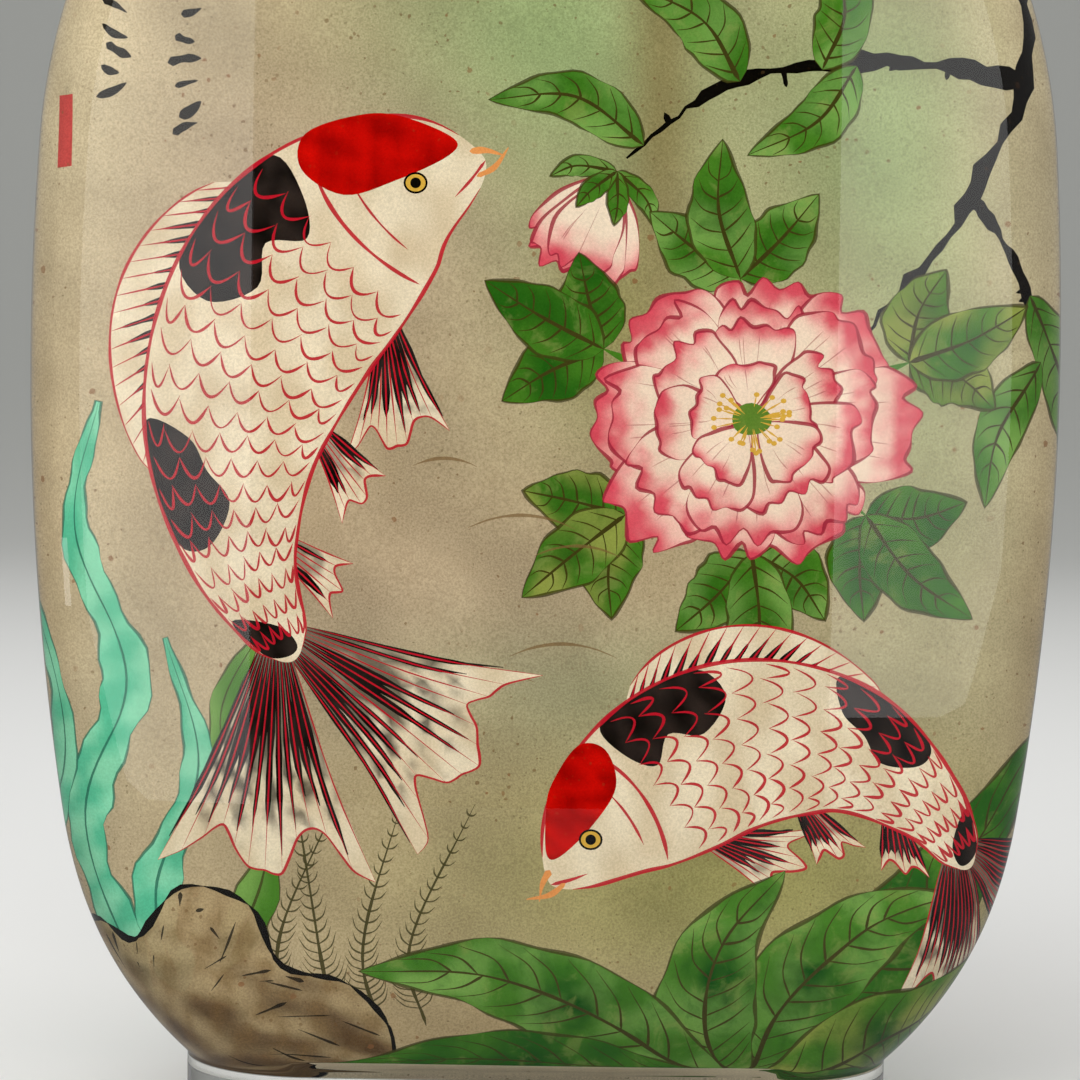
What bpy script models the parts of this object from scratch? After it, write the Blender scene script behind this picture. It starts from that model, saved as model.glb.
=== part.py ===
"""Snuff bottle: a flattened clear-glass flask on an oval foot, hollow, with a narrow neck,
closed by a loose stopper made of a domed cap, a thin collar and a tapered plug.

Metres, +Z up. The origin is the middle of the foot's underside. The broad painted faces look
along -Y (front) and +Y (back); the narrow sides look along X.
"""

import math

import bmesh
import bpy
import numpy as np

# Body outline, seen from the front. Each side is one long arc that bulges most at the widest
# level. A tighter arc turns it in to the foot, and another turns it in to the neck.
body_width = 0.0500
side_radius_below = 0.1380
side_radius_above = 0.1530
side_run_below = 0.0212
side_run_above = 0.0109
lower_corner_radius = 0.0216
shoulder_radius = 0.0290

# Body depth, from front to back. Both faces are crowned a little, and roll in at their ends.
body_depth = 0.0240
face_crown_radius = 0.6000
bottom_roll_height = 0.0075
shoulder_roll_height = 0.0140
roll_start = 0.12

# Horizontal sections: the rounded vertical edges, and the bulge of the faces and sides.
edge_radius = 0.0040
edge_blend_above_foot = 0.0120
edge_blend_below_neck = 0.0130
face_bulge = 0.0005
side_bulge = 0.0008

# Foot: an oval pedestal with a shallow recess under it.
foot_width = 0.0344
foot_depth = 0.0192
foot_height = 0.0030
foot_edge_radius = 0.0064
foot_rim_width = 0.0026
foot_recess_depth = 0.0008
foot_fillet = 0.0006
foot_arris = 0.0003

# Neck and mouth.
neck_diameter = 0.0156
neck_height = 0.0066
neck_fillet = 0.0016
lip_radius = 0.0008
bore_diameter = 0.0074
bore_fillet = 0.0012
mouth_chamfer = 0.0004

# Hollow.
wall_thickness = 0.0020
floor_thickness = 0.0010
floor_corner_radius = 0.0030
floor_depth_share = 0.72
inner_roll_height = 0.0050
inner_edge_radius = 0.0030

# Stopper, which rests on the lip.
seat_gap = 0.0003
collar_diameter = 0.0166
collar_thickness = 0.0012
cap_diameter = 0.0154
cap_height = 0.0082
cap_skirt_height = 0.0012
cap_arris = 0.0004
plug_clearance = 0.0003
plug_length = 0.0056
plug_taper = 0.0002
plug_chamfer = 0.0004

# Facets.
ring_points = 48
arc_samples = 24
corner_steps = 8
side_steps = 4
shoulder_steps = 11
fillet_steps = 2
floor_steps = 4
stopper_segments = 36
dome_steps = 10

# Colours, linear.
glass_colour = (0.93, 0.95, 0.92, 1.0)
cap_colour = (0.10, 0.33, 0.15, 1.0)
collar_colour = (0.030, 0.026, 0.024, 1.0)
plug_colour = (0.46, 0.29, 0.15, 1.0)

# Sizes that follow from the ones above.
foot_half_width = foot_width / 2
foot_half_depth = foot_depth / 2
neck_radius = neck_diameter / 2
bore_radius = bore_diameter / 2
collar_radius = collar_diameter / 2
cap_radius = cap_diameter / 2
turn_below = math.asin(side_run_below / side_radius_below)
turn_above = math.asin(side_run_above / side_radius_above)
corner_centre_x = (
    body_width / 2
    - side_radius_below
    + (side_radius_below - lower_corner_radius) * math.cos(turn_below)
)
shoulder_centre_x = (
    body_width / 2
    - side_radius_above
    + (side_radius_above - shoulder_radius) * math.cos(turn_above)
)


def clamp(value, low=0.0, high=1.0):
    return max(low, min(high, value))


def smooth(share):
    share = clamp(share)
    return share * share * (3 - 2 * share)


def turn_into_wall(centre_x, radius, wall_x, fillet):
    """How far an arc of the outline turns before a fillet takes it into an upright wall."""
    return math.acos(clamp((wall_x + fillet - centre_x) / (radius + fillet)))


foot_turn = turn_into_wall(corner_centre_x, lower_corner_radius, foot_half_width, foot_fillet)
neck_turn = turn_into_wall(shoulder_centre_x, shoulder_radius, neck_radius, neck_fillet)
corner_level = foot_height + (lower_corner_radius + foot_fillet) * math.sin(foot_turn)
widest_level = corner_level + (side_radius_below - lower_corner_radius) * math.sin(turn_below)
shoulder_level = widest_level + (side_radius_above - shoulder_radius) * math.sin(turn_above)
neck_level = shoulder_level + (shoulder_radius + neck_fillet) * math.sin(neck_turn)
lip_level = neck_level + neck_height
floor_level = foot_height + floor_thickness


def flank(inset, lowest_turn, top_radius, top_fillet):
    """Outline points (x, z), going up, from the lower corner to the upright wall of the neck
    or the bore. inset is how far they lie inside the glass's outer skin."""
    points = []
    for i in range(corner_steps):
        turn = lowest_turn + (turn_below - lowest_turn) * i / corner_steps
        radius = lower_corner_radius - inset
        points.append(
            (corner_centre_x + radius * math.cos(turn), corner_level - radius * math.sin(turn))
        )
    for i in range(side_steps):
        turn = turn_below * (1 - i / side_steps)
        radius = side_radius_below - inset
        points.append(
            (
                body_width / 2 - side_radius_below + radius * math.cos(turn),
                widest_level - radius * math.sin(turn),
            )
        )
    for i in range(side_steps // 2):
        turn = turn_above * i / (side_steps // 2)
        radius = side_radius_above - inset
        points.append(
            (
                body_width / 2 - side_radius_above + radius * math.cos(turn),
                widest_level + radius * math.sin(turn),
            )
        )
    radius = shoulder_radius - inset
    top_turn = turn_into_wall(shoulder_centre_x, radius, top_radius, top_fillet)
    for i in range(shoulder_steps + 1):
        turn = turn_above + (top_turn - turn_above) * i / shoulder_steps
        points.append(
            (shoulder_centre_x + radius * math.cos(turn), shoulder_level + radius * math.sin(turn))
        )
    wall_level = shoulder_level + (radius + top_fillet) * math.sin(top_turn)
    for i in range(1, fillet_steps + 1):
        turn = top_turn * (1 - i / fillet_steps)
        points.append(
            (
                top_radius + top_fillet * (1 - math.cos(turn)),
                wall_level - top_fillet * math.sin(turn),
            )
        )
    return points


def rolled(share):
    """A face rolling in at its end: 0 at share 0, 1 from share 1 on, along an ellipse."""
    share = roll_start + (1 - roll_start) * clamp(share)
    start = math.sqrt(1 - (1 - roll_start) ** 2)
    return (math.sqrt(1 - (1 - share) ** 2) - start) / (1 - start)


def half_depth(level, middle, low_end, high_end):
    """Half the depth of a section. low_end and high_end are (level, half depth, roll height)."""
    crowned = middle - (level - widest_level) ** 2 / (2 * face_crown_radius)
    found = crowned
    for end_level, end_half, roll in (low_end, high_end):
        share = abs(level - end_level) / roll
        found = min(found, end_half + (crowned - end_half) * rolled(share))
    return found


def edge_at(level, low_level, low_radius, middle, high_level, high_radius):
    """How round the vertical edges are at a level: round at the foot and neck, tight between."""
    low = smooth((level - low_level) / edge_blend_above_foot)
    high = smooth((high_level - level) / edge_blend_below_neck)
    return middle + (low_radius - middle) * (1 - low) + (high_radius - middle) * (1 - high)


def outer_section(half_width, level):
    deep = half_depth(
        level,
        body_depth / 2,
        (foot_height, foot_half_depth, bottom_roll_height),
        (neck_level, neck_radius, shoulder_roll_height),
    )
    edge = edge_at(level, foot_height, foot_edge_radius, edge_radius, neck_level, neck_radius)
    return half_width, deep, edge, level


def inner_section(half_width, level, bore_level):
    middle = body_depth / 2 - wall_thickness
    deep = half_depth(
        level,
        middle,
        (floor_level, middle * floor_depth_share, inner_roll_height),
        (bore_level, bore_radius, shoulder_roll_height),
    )
    edge = edge_at(
        level, floor_level, inner_edge_radius, inner_edge_radius, bore_level, bore_radius
    )
    return half_width, deep, edge, level


def quarter_outline(half_width, half_depth_here, radius):
    """Fine points (x, y, turn) of a quarter of a section, from the middle of the front face to
    the middle of the right side. turn is the angle between the front and the outward normal.

    A shallow bow over the face, the rounded edge and a shallow bow over the side follow each
    other without a kink. Their lengths and turns depend on each other, so they are found in a
    few rounds. The bows shrink with the faces, and a round section has none left."""
    radius = min(radius, half_width, half_depth_here)
    face_share = (half_width - radius) / (body_width / 2 - edge_radius)
    side_share = (half_depth_here - radius) / (body_depth / 2 - edge_radius)
    face_rise = face_bulge * face_share**2
    side_rise = side_bulge * side_share**2
    face_turn = side_turn = 0.0
    for _ in range(8):
        centre_x = half_width - side_rise - radius * math.cos(side_turn)
        centre_y = face_rise - half_depth_here + radius * math.cos(face_turn)
        face_run = centre_x + radius * math.sin(face_turn)
        side_run = radius * math.sin(side_turn) - centre_y
        face_turn = 2 * math.atan2(face_rise, max(face_run, 1e-9))
        side_turn = 2 * math.atan2(side_rise, max(side_run, 1e-9))
    share = np.linspace(0.0, 1.0, arc_samples)
    rest = 1 - share
    turn = face_turn + (math.pi / 2 - side_turn - face_turn) * share
    face = (face_run * share, face_rise * share**2 - half_depth_here, face_turn * share)
    edge = (centre_x + radius * np.sin(turn), centre_y - radius * np.cos(turn), turn)
    side = (half_width - side_rise * rest**2, -side_run * rest, math.pi / 2 - side_turn * rest)
    return np.hstack([face, edge, side])


def ring(half_width, half_depth_here, radius, level):
    """One ring of points round a section, as many on each ring, crowded on the round edges: a
    point lies where the mean of its share of the length and of the turn is its share."""
    x, y, turn = quarter_outline(half_width, half_depth_here, radius)
    length = np.append(0.0, np.cumsum(np.hypot(np.diff(x), np.diff(y))))
    place = (length / length[-1] + turn / (math.pi / 2)) / 2
    wanted = np.linspace(0.0, 1.0, ring_points // 4 + 1)
    quarter = list(zip(np.interp(wanted, place, x).tolist(), np.interp(wanted, place, y).tolist()))
    quarter[-1] = (quarter[-1][0], 0.0)
    right = quarter + [(x, -y) for x, y in reversed(quarter[:-1])]
    left = [(-x, y) for x, y in reversed(right[1:-1])]
    return [(x, y, level) for x, y in right + left]


def outer_rings():
    """The skin from the recess under the foot up to the lip."""
    foot = (foot_half_width, foot_half_depth, foot_edge_radius)

    def foot_ring(inset, level):
        return ring(foot[0] - inset, foot[1] - inset, foot[2] - inset, level)

    rings = [
        foot_ring(foot_rim_width, foot_recess_depth),
        foot_ring(foot_rim_width, 0.0),
        foot_ring(foot_arris, 0.0),
        foot_ring(0.0, foot_arris),
        foot_ring(0.0, foot_height),
    ]
    for i in range(1, fillet_steps):
        turn = foot_turn * i / fillet_steps
        half_width = foot_half_width + foot_fillet * (1 - math.cos(turn))
        level = foot_height + foot_fillet * math.sin(turn)
        rings.append(ring(*outer_section(half_width, level)))
    for half_width, level in flank(0.0, foot_turn, neck_radius, neck_fillet):
        rings.append(ring(*outer_section(half_width, level)))
    for i in range(fillet_steps + 1):
        turn = math.pi / 2 * i / fillet_steps
        radius = neck_radius - lip_radius * (1 - math.cos(turn))
        level = lip_level - lip_radius * (1 - math.sin(turn))
        rings.append(ring(radius, radius, radius, level))
    return rings


def inner_rings():
    """The hollow's skin from the mouth down to the floor."""
    rings = [
        ring(bore_radius + mouth_chamfer, bore_radius + mouth_chamfer, neck_radius, lip_level),
        ring(bore_radius, bore_radius, neck_radius, lip_level - mouth_chamfer),
    ]
    corner_radius = lower_corner_radius - wall_thickness
    sine = (corner_level - floor_corner_radius - floor_level) / (
        corner_radius - floor_corner_radius
    )
    floor_turn = math.asin(clamp(sine))
    side = flank(wall_thickness, floor_turn, bore_radius, bore_fillet)
    bore_level = side[-1][1]
    for half_width, level in reversed(side):
        rings.append(ring(*inner_section(half_width, level, bore_level)))
    centre_x = corner_centre_x + (corner_radius - floor_corner_radius) * math.cos(floor_turn)
    for i in range(1, floor_steps + 1):
        turn = floor_turn + (math.pi / 2 - floor_turn) * i / floor_steps
        half_width = centre_x + floor_corner_radius * math.cos(turn)
        level = floor_level + floor_corner_radius * (1 - math.sin(turn))
        rings.append(ring(*inner_section(half_width, level, bore_level)))
    return rings


def new_object(name, bm, its_material, sharp_angle):
    bmesh.ops.recalc_face_normals(bm, faces=bm.faces)
    mesh = bpy.data.meshes.new(name)
    bm.to_mesh(mesh)
    bm.free()
    mesh.materials.append(its_material)
    mesh.shade_smooth()
    mesh.set_sharp_from_angle(angle=math.radians(sharp_angle))
    made = bpy.data.objects.new(name, mesh)
    bpy.context.scene.collection.objects.link(made)
    return made


def make_bottle(its_material):
    """One glass body: skin over the outside, round the lip and down inside, in one loft."""
    bm = bmesh.new()
    rings = [[bm.verts.new(point) for point in points] for points in outer_rings() + inner_rings()]
    for low, high in zip(rings, rings[1:]):
        for i in range(ring_points):
            bm.faces.new((low[i - 1], low[i], high[i], high[i - 1]))
    for edge, level in ((rings[0], foot_recess_depth), (rings[-1], floor_level)):
        middle = bm.verts.new((0.0, 0.0, level))
        for i in range(ring_points):
            bm.faces.new((edge[i - 1], edge[i], middle))
    return new_object("bottle", bm, its_material, 35)


def turned(name, profile, its_material):
    """A solid turned on the bottle's axis from (radius, level) points, with both ends closed."""
    bm = bmesh.new()
    verts = [bm.verts.new((radius, 0.0, level)) for radius, level in profile]
    edges = [bm.edges.new(pair) for pair in zip(verts, verts[1:])]
    bmesh.ops.spin(
        bm,
        geom=verts + edges,
        cent=(0.0, 0.0, 0.0),
        axis=(0.0, 0.0, 1.0),
        angle=2 * math.pi,
        steps=stopper_segments,
        use_merge=True,
    )
    bmesh.ops.remove_doubles(bm, verts=bm.verts, dist=1e-6)
    return new_object(name, bm, its_material, 40)


def make_plug(its_material):
    top_radius = bore_radius - plug_clearance
    low_radius = top_radius - plug_taper
    low = lip_level - plug_length
    profile = [
        (0.0, low),
        (low_radius - plug_chamfer, low),
        (low_radius, low + plug_chamfer),
        (top_radius, lip_level),
        (0.0, lip_level),
    ]
    return turned("stopper_plug", profile, its_material)


def make_collar(its_material):
    """A disc with a half-round rim."""
    rim = collar_thickness / 2
    middle = lip_level + seat_gap + rim
    profile = [(0.0, middle - rim)]
    steps = 6
    for i in range(steps + 1):
        turn = math.pi * (i / steps - 0.5)
        profile.append((collar_radius - rim + rim * math.cos(turn), middle + rim * math.sin(turn)))
    profile.append((0.0, middle + rim))
    return turned("stopper_collar", profile, its_material)


def make_cap(its_material):
    """A dome on a short upright skirt."""
    base = lip_level + seat_gap + collar_thickness + seat_gap
    rise = cap_height - cap_skirt_height
    profile = [
        (0.0, base),
        (cap_radius - cap_arris, base),
        (cap_radius, base + cap_arris),
    ]
    for i in range(dome_steps + 1):
        turn = math.pi / 2 * i / dome_steps
        level = base + cap_skirt_height + rise * math.sin(turn)
        profile.append((cap_radius * math.cos(turn), level))
    profile[-1] = (0.0, base + cap_height)
    return turned("stopper_cap", profile, its_material)


def material(name, colour, roughness, transmission=0.0):
    made = bpy.data.materials.new(name)
    made.use_nodes = True
    shader = made.node_tree.nodes["Principled BSDF"]
    shader.inputs["Base Color"].default_value = colour
    shader.inputs["Roughness"].default_value = roughness
    shader.inputs["Transmission Weight"].default_value = transmission
    return made


def clear_scene():
    for old in list(bpy.data.objects):
        bpy.data.objects.remove(old)


def main():
    clear_scene()
    make_bottle(material("clear_glass", glass_colour, 0.03, transmission=1.0))
    make_plug(material("cork", plug_colour, 0.8))
    make_collar(material("dark_horn", collar_colour, 0.3))
    make_cap(material("green_glass", cap_colour, 0.12))


main()
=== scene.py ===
# Snuff bottle: clear glass, painted on the inside, on an oval foot, with a domed stopper.
import math

import bpy
import numpy as np
from mathutils import Euler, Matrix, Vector, geometry


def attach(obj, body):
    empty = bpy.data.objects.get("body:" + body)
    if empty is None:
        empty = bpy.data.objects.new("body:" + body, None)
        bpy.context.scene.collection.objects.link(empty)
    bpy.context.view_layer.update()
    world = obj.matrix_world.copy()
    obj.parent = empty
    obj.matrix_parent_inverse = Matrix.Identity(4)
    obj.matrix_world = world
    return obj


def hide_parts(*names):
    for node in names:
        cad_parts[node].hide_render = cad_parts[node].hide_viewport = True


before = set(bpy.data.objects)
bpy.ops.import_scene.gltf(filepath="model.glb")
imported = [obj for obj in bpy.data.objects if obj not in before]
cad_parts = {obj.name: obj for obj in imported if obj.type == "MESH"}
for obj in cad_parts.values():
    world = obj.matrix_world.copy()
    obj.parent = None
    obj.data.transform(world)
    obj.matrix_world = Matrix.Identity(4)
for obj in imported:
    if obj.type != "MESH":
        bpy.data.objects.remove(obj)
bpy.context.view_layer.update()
print("frame loaded")

mm = 0.001

# The bottle's form, in mm, as the CAD model has it.
form = {
    "bodyWidth": 50.0,
    "sideRadiusBelow": 138.0,
    "sideRadiusAbove": 153.0,
    "sideRunBelow": 21.2,
    "sideRunAbove": 10.9,
    "lowerCornerRadius": 21.6,
    "shoulderRadius": 29.0,
    "bodyDepth": 24.0,
    "faceCrownRadius": 600.0,
    "bottomRollHeight": 7.5,
    "shoulderRollHeight": 14.0,
    "rollStart": 0.12,
    "edgeRadius": 4.0,
    "edgeBlendAboveFoot": 12.0,
    "edgeBlendBelowNeck": 13.0,
    "faceBulge": 0.5,
    "sideBulge": 0.8,
    "footWidth": 34.4,
    "footDepth": 19.2,
    "footHeight": 3.0,
    "footEdgeRadius": 6.4,
    "footRimWidth": 2.6,
    "footRecessDepth": 0.8,
    "footFillet": 0.6,
    "footArris": 0.3,
    "footInnerArris": 0.2,
    "neckRadius": 7.8,
    "neckHeight": 6.6,
    "neckFillet": 1.6,
    "lipRadius": 0.8,
    "boreRadius": 3.7,
    "boreFillet": 1.2,
    "mouthChamfer": 0.4,
    "wall": 2.0,
    "floorThickness": 1.0,
    "floorCornerRadius": 3.0,
    "floorDepthShare": 0.72,
    "innerRollHeight": 5.0,
    "innerEdgeRadius": 3.0,
}

# How finely the visible surfaces are made.
fineness = {
    "around": 176,  # points on a ring of glass, a multiple of 4
    "arcPoints": (30, 30, 14, 44, 8),  # lower corner, side below, side above, shoulder, its fillet
    "floorPoints": 14,  # the rounding between the hollow's floor and its side
    "glassDensity": 1.2,  # so many times as many points on the outer arcs
    "hollowDensity": 1.0,
    "skinDensity": 6.0,
    "footPoints": 7,  # each rounding of the foot
    "mouthPoints": 8,  # the lip, and the chamfer in the mouth
    "arcSamples": 40,  # points on each stretch of a section's outline
    "skinRows": 420,  # rows of the table that carries the painting onto the inner wall
    "skinColumns": 241,
}


def turnIntoWall(centreX, radius, wallX, fillet):
    # how far an arc of the outline turns before a fillet takes it into an upright wall
    return math.acos(min(1.0, max(0.0, (wallX + fillet - centreX) / (radius + fillet))))


# The turns, centres and levels that follow from the form. Each side of the outline is two arcs
# that meet at the widest level, with the lower corner's arc below them and the shoulder's above.
halfBody = form["bodyWidth"] / 2
turnBelow = math.asin(form["sideRunBelow"] / form["sideRadiusBelow"])
turnAbove = math.asin(form["sideRunAbove"] / form["sideRadiusAbove"])
toCorner = form["sideRadiusBelow"] - form["lowerCornerRadius"]
toShoulder = form["sideRadiusAbove"] - form["shoulderRadius"]
cornerX = halfBody - form["sideRadiusBelow"] + toCorner * math.cos(turnBelow)
shoulderX = halfBody - form["sideRadiusAbove"] + toShoulder * math.cos(turnAbove)
footTurn = turnIntoWall(cornerX, form["lowerCornerRadius"], form["footWidth"] / 2, form["footFillet"])
neckTurn = turnIntoWall(shoulderX, form["shoulderRadius"], form["neckRadius"], form["neckFillet"])
cornerZ = form["footHeight"] + (form["lowerCornerRadius"] + form["footFillet"]) * math.sin(footTurn)
widestZ = cornerZ + toCorner * math.sin(turnBelow)
shoulderZ = widestZ + toShoulder * math.sin(turnAbove)
neckZ = shoulderZ + (form["shoulderRadius"] + form["neckFillet"]) * math.sin(neckTurn)
lipZ = neckZ + form["neckHeight"]
floorZ = form["footHeight"] + form["floorThickness"]


def arcOutline(centre, radius, turns, side=1):
    # points (x, z) on a circle about centre; a turn of 0 points along +X, and up is side 1
    return np.stack([centre[0] + radius * np.cos(turns), centre[1] + side * radius * np.sin(turns)], 1)


def flank(inset, lowestTurn, topRadius, topFillet, dense):
    # the outline (x, z) from the lower corner up to the upright wall of the neck or the bore:
    # four arcs that follow each other without a kink, then the fillet into the wall
    corner, below, above, shoulder, fillet = (int(count * dense) for count in fineness["arcPoints"])
    topTurn = turnIntoWall(shoulderX, form["shoulderRadius"] - inset, topRadius, topFillet)
    wallZ = shoulderZ + (form["shoulderRadius"] - inset + topFillet) * math.sin(topTurn)
    arcs = (
        ((cornerX, cornerZ), form["lowerCornerRadius"], lowestTurn, turnBelow, corner, -1),
        ((halfBody - form["sideRadiusBelow"], widestZ), form["sideRadiusBelow"], turnBelow, 0, below, -1),
        ((halfBody - form["sideRadiusAbove"], widestZ), form["sideRadiusAbove"], 0, turnAbove, above, 1),
        ((shoulderX, shoulderZ), form["shoulderRadius"], turnAbove, topTurn, shoulder, 1),
    )
    outline = [
        arcOutline(centre, radius - inset, np.linspace(start, end, count, endpoint=False), side)
        for centre, radius, start, end, count, side in arcs
    ]
    turns = np.linspace(topTurn, 0, fillet)[1:]
    x, z = topRadius + topFillet * (1 - np.cos(turns)), wallZ - topFillet * np.sin(turns)
    return np.concatenate([*outline, np.stack([x, z], 1)])


def rolled(share):
    # a face rolling in at its end along an ellipse: 0 at share 0, 1 from share 1 on
    low = form["rollStart"]
    start = math.sqrt(1 - (1 - low) ** 2)
    share = low + (1 - low) * np.clip(share, 0, 1)
    return (np.sqrt(1 - (1 - share) ** 2) - start) / (1 - start)


def smooth(share):
    # 0 up to share 0, 1 from share 1 on, and level at both ends between
    share = np.clip(share, 0, 1)
    return share * share * (3 - 2 * share)


def halfDepth(z, middle, ends):
    # the crown of the face, cut down near each end (level, half depth, roll height) by its roll
    crowned = middle - (z - widestZ) ** 2 / (2 * form["faceCrownRadius"])
    found = crowned
    for endZ, endHalf, roll in ends:
        found = np.minimum(found, endHalf + (crowned - endHalf) * rolled(abs(z - endZ) / roll))
    return found


def sectionsOf(outline, hollow=False, boreZ=0.0, film=0.0):
    # rows of (half width, half depth, edge radius, level) for an outline's points
    x, z = outline.T
    if hollow:
        bare = form["bodyDepth"] / 2 - form["wall"]
        middle = bare + film
        low = (floorZ - film, bare * form["floorDepthShare"] + film, form["innerRollHeight"])
        high = (boreZ, form["boreRadius"] + film, form["shoulderRollHeight"])
        edge = lowEdge = form["innerEdgeRadius"] + film
    else:
        middle = form["bodyDepth"] / 2
        low = (form["footHeight"], form["footDepth"] / 2, form["bottomRollHeight"])
        high = (neckZ, form["neckRadius"], form["shoulderRollHeight"])
        edge, lowEdge = form["edgeRadius"], form["footEdgeRadius"]
    nearFoot = 1 - smooth((z - low[0]) / form["edgeBlendAboveFoot"])
    nearNeck = 1 - smooth((high[0] - z) / form["edgeBlendBelowNeck"])
    radius = edge + (lowEdge - edge) * nearFoot + (high[1] - edge) * nearNeck
    return np.stack([x, halfDepth(z, middle, (low, high)), radius, z], 1)


def quarterOutlines(halfWidth, deep, radius):
    # quarters of sections, one a row, from the middle of the front face to the middle of the right
    # side: a shallow bow over the face, the rounded edge, a shallow bow over the side. Each is
    # (x, y, turn), where turn is the angle between the front and the outward normal.
    radius = np.minimum(radius, np.minimum(halfWidth, deep))
    faceRise = form["faceBulge"] * ((halfWidth - radius) / (halfBody - form["edgeRadius"])) ** 2
    sideRise = form["sideBulge"] * ((deep - radius) / (form["bodyDepth"] / 2 - form["edgeRadius"])) ** 2
    faceTurn = sideTurn = np.zeros_like(halfWidth)
    for _ in range(8):  # the turns and the runs depend on each other, so they close in on each other
        centreX = halfWidth - sideRise - radius * np.cos(sideTurn)
        centreY = faceRise - deep + radius * np.cos(faceTurn)
        faceRun = centreX + radius * np.sin(faceTurn)
        sideRun = radius * np.sin(sideTurn) - centreY
        faceTurn = 2 * np.arctan2(faceRise, np.maximum(faceRun, 1e-6))
        sideTurn = 2 * np.arctan2(sideRise, np.maximum(sideRun, 1e-6))
    share = np.linspace(0, 1, fineness["arcSamples"])[None, :]
    rest = 1 - share
    halfWidth, deep, radius = (a[:, None] for a in (halfWidth, deep, radius))
    faceRise, faceRun, faceTurn = (a[:, None] for a in (faceRise, faceRun, faceTurn))
    sideRise, sideRun, sideTurn = (a[:, None] for a in (sideRise, sideRun, sideTurn))
    centreX, centreY = centreX[:, None], centreY[:, None]
    turn = faceTurn + (math.pi / 2 - sideTurn - faceTurn) * share
    x = np.hstack([faceRun * share, centreX + radius * np.sin(turn), halfWidth - sideRise * rest**2])
    y = np.hstack([faceRise * share**2 - deep, centreY - radius * np.cos(turn), -sideRun * rest])
    turns = np.hstack([faceTurn * share, turn, math.pi / 2 - sideTurn * rest])
    return x, y, turns


def runningLength(x, y):
    # the length along each row's outline, from its start to each of its points
    steps = np.hypot(np.diff(x, axis=1), np.diff(y, axis=1))
    return np.hstack([np.zeros((len(x), 1)), np.cumsum(steps, axis=1)])


def resample(wanted, place, values):
    # each row of values read at its own wanted places
    return np.stack([np.interp(w, a, b) for w, a, b in zip(wanted, place, values)])


def ringPoints(sections):
    # full rings of points, (rings, around, 3): a point lies where the mean of its share of the
    # length and of the turn is its share of the quarter, which crowds points on the round edges
    x, y, turn = quarterOutlines(*sections.T[:3])
    length = runningLength(x, y)
    place = (length / length[:, -1:] + turn / (math.pi / 2)) / 2
    wanted = np.tile(np.linspace(0, 1, fineness["around"] // 4 + 1), (len(x), 1))
    x, y = resample(wanted, place, x), resample(wanted, place, y)
    y[:, -1] = 0
    x, y = np.hstack([x, x[:, -2::-1]]), np.hstack([y, -y[:, -2::-1]])  # the right half
    x, y = np.hstack([x, -x[:, -2:0:-1]]), np.hstack([y, y[:, -2:0:-1]])  # the whole ring
    z = np.tile(sections[:, 3:4], (1, x.shape[1]))
    return np.stack([x, y, z], 2)


def linkPiece(name, mesh, material, replaced=()):
    # a piece of the bottle, with the CAD nodes that it stands for
    mesh.materials.append(material)
    piece = bpy.data.objects.new(name, mesh)
    bpy.context.scene.collection.objects.link(piece)
    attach(piece, "root")
    if replaced:
        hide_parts(*replaced)
    return piece


def meshOf(name, points, *faceSets):
    # points in mm; each set of faces is an array with a row of 3 or 4 corners for each face
    corners = np.concatenate([faces.ravel() for faces in faceSets])
    sides = np.concatenate([np.full(len(faces), faces.shape[1]) for faces in faceSets])
    mesh = bpy.data.meshes.new(name)
    mesh.vertices.add(len(points))
    mesh.vertices.foreach_set("co", (points * mm).astype(np.float32).ravel())
    mesh.loops.add(len(corners))
    mesh.loops.foreach_set("vertex_index", corners.astype(np.int32))
    mesh.polygons.add(len(sides))
    mesh.polygons.foreach_set("loop_start", (np.cumsum(sides) - sides).astype(np.int32))
    mesh.polygons.foreach_set("use_smooth", np.full(len(sides), True))
    mesh.update(calc_edges=True)
    return mesh


class Wire:
    # an output socket of a finish's nodes; arithmetic on it adds Math nodes
    def __init__(self, finish, socket):
        self.finish = finish
        self.socket = socket

    def calc(self, operation, *values):
        return self.finish.add("ShaderNodeMath", {"operation": operation}, dict(enumerate(values)))

    def __add__(self, other):
        return self.calc("ADD", self, other)

    __radd__ = __add__

    def __sub__(self, other):
        return self.calc("SUBTRACT", self, other)

    def __rsub__(self, other):
        return self.calc("SUBTRACT", other, self)

    def __mul__(self, other):
        return self.calc("MULTIPLY", self, other)

    __rmul__ = __mul__

    def over(self, low, high):
        # 0 below low, 1 above high, smooth between
        settings = {"interpolation_type": "SMOOTHSTEP"}
        return self.finish.add("ShaderNodeMapRange", settings, {0: self, 1: low, 2: high})

    def twin(self, output):
        # another output of the same node
        return Wire(self.finish, self.socket.node.outputs[output])


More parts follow.
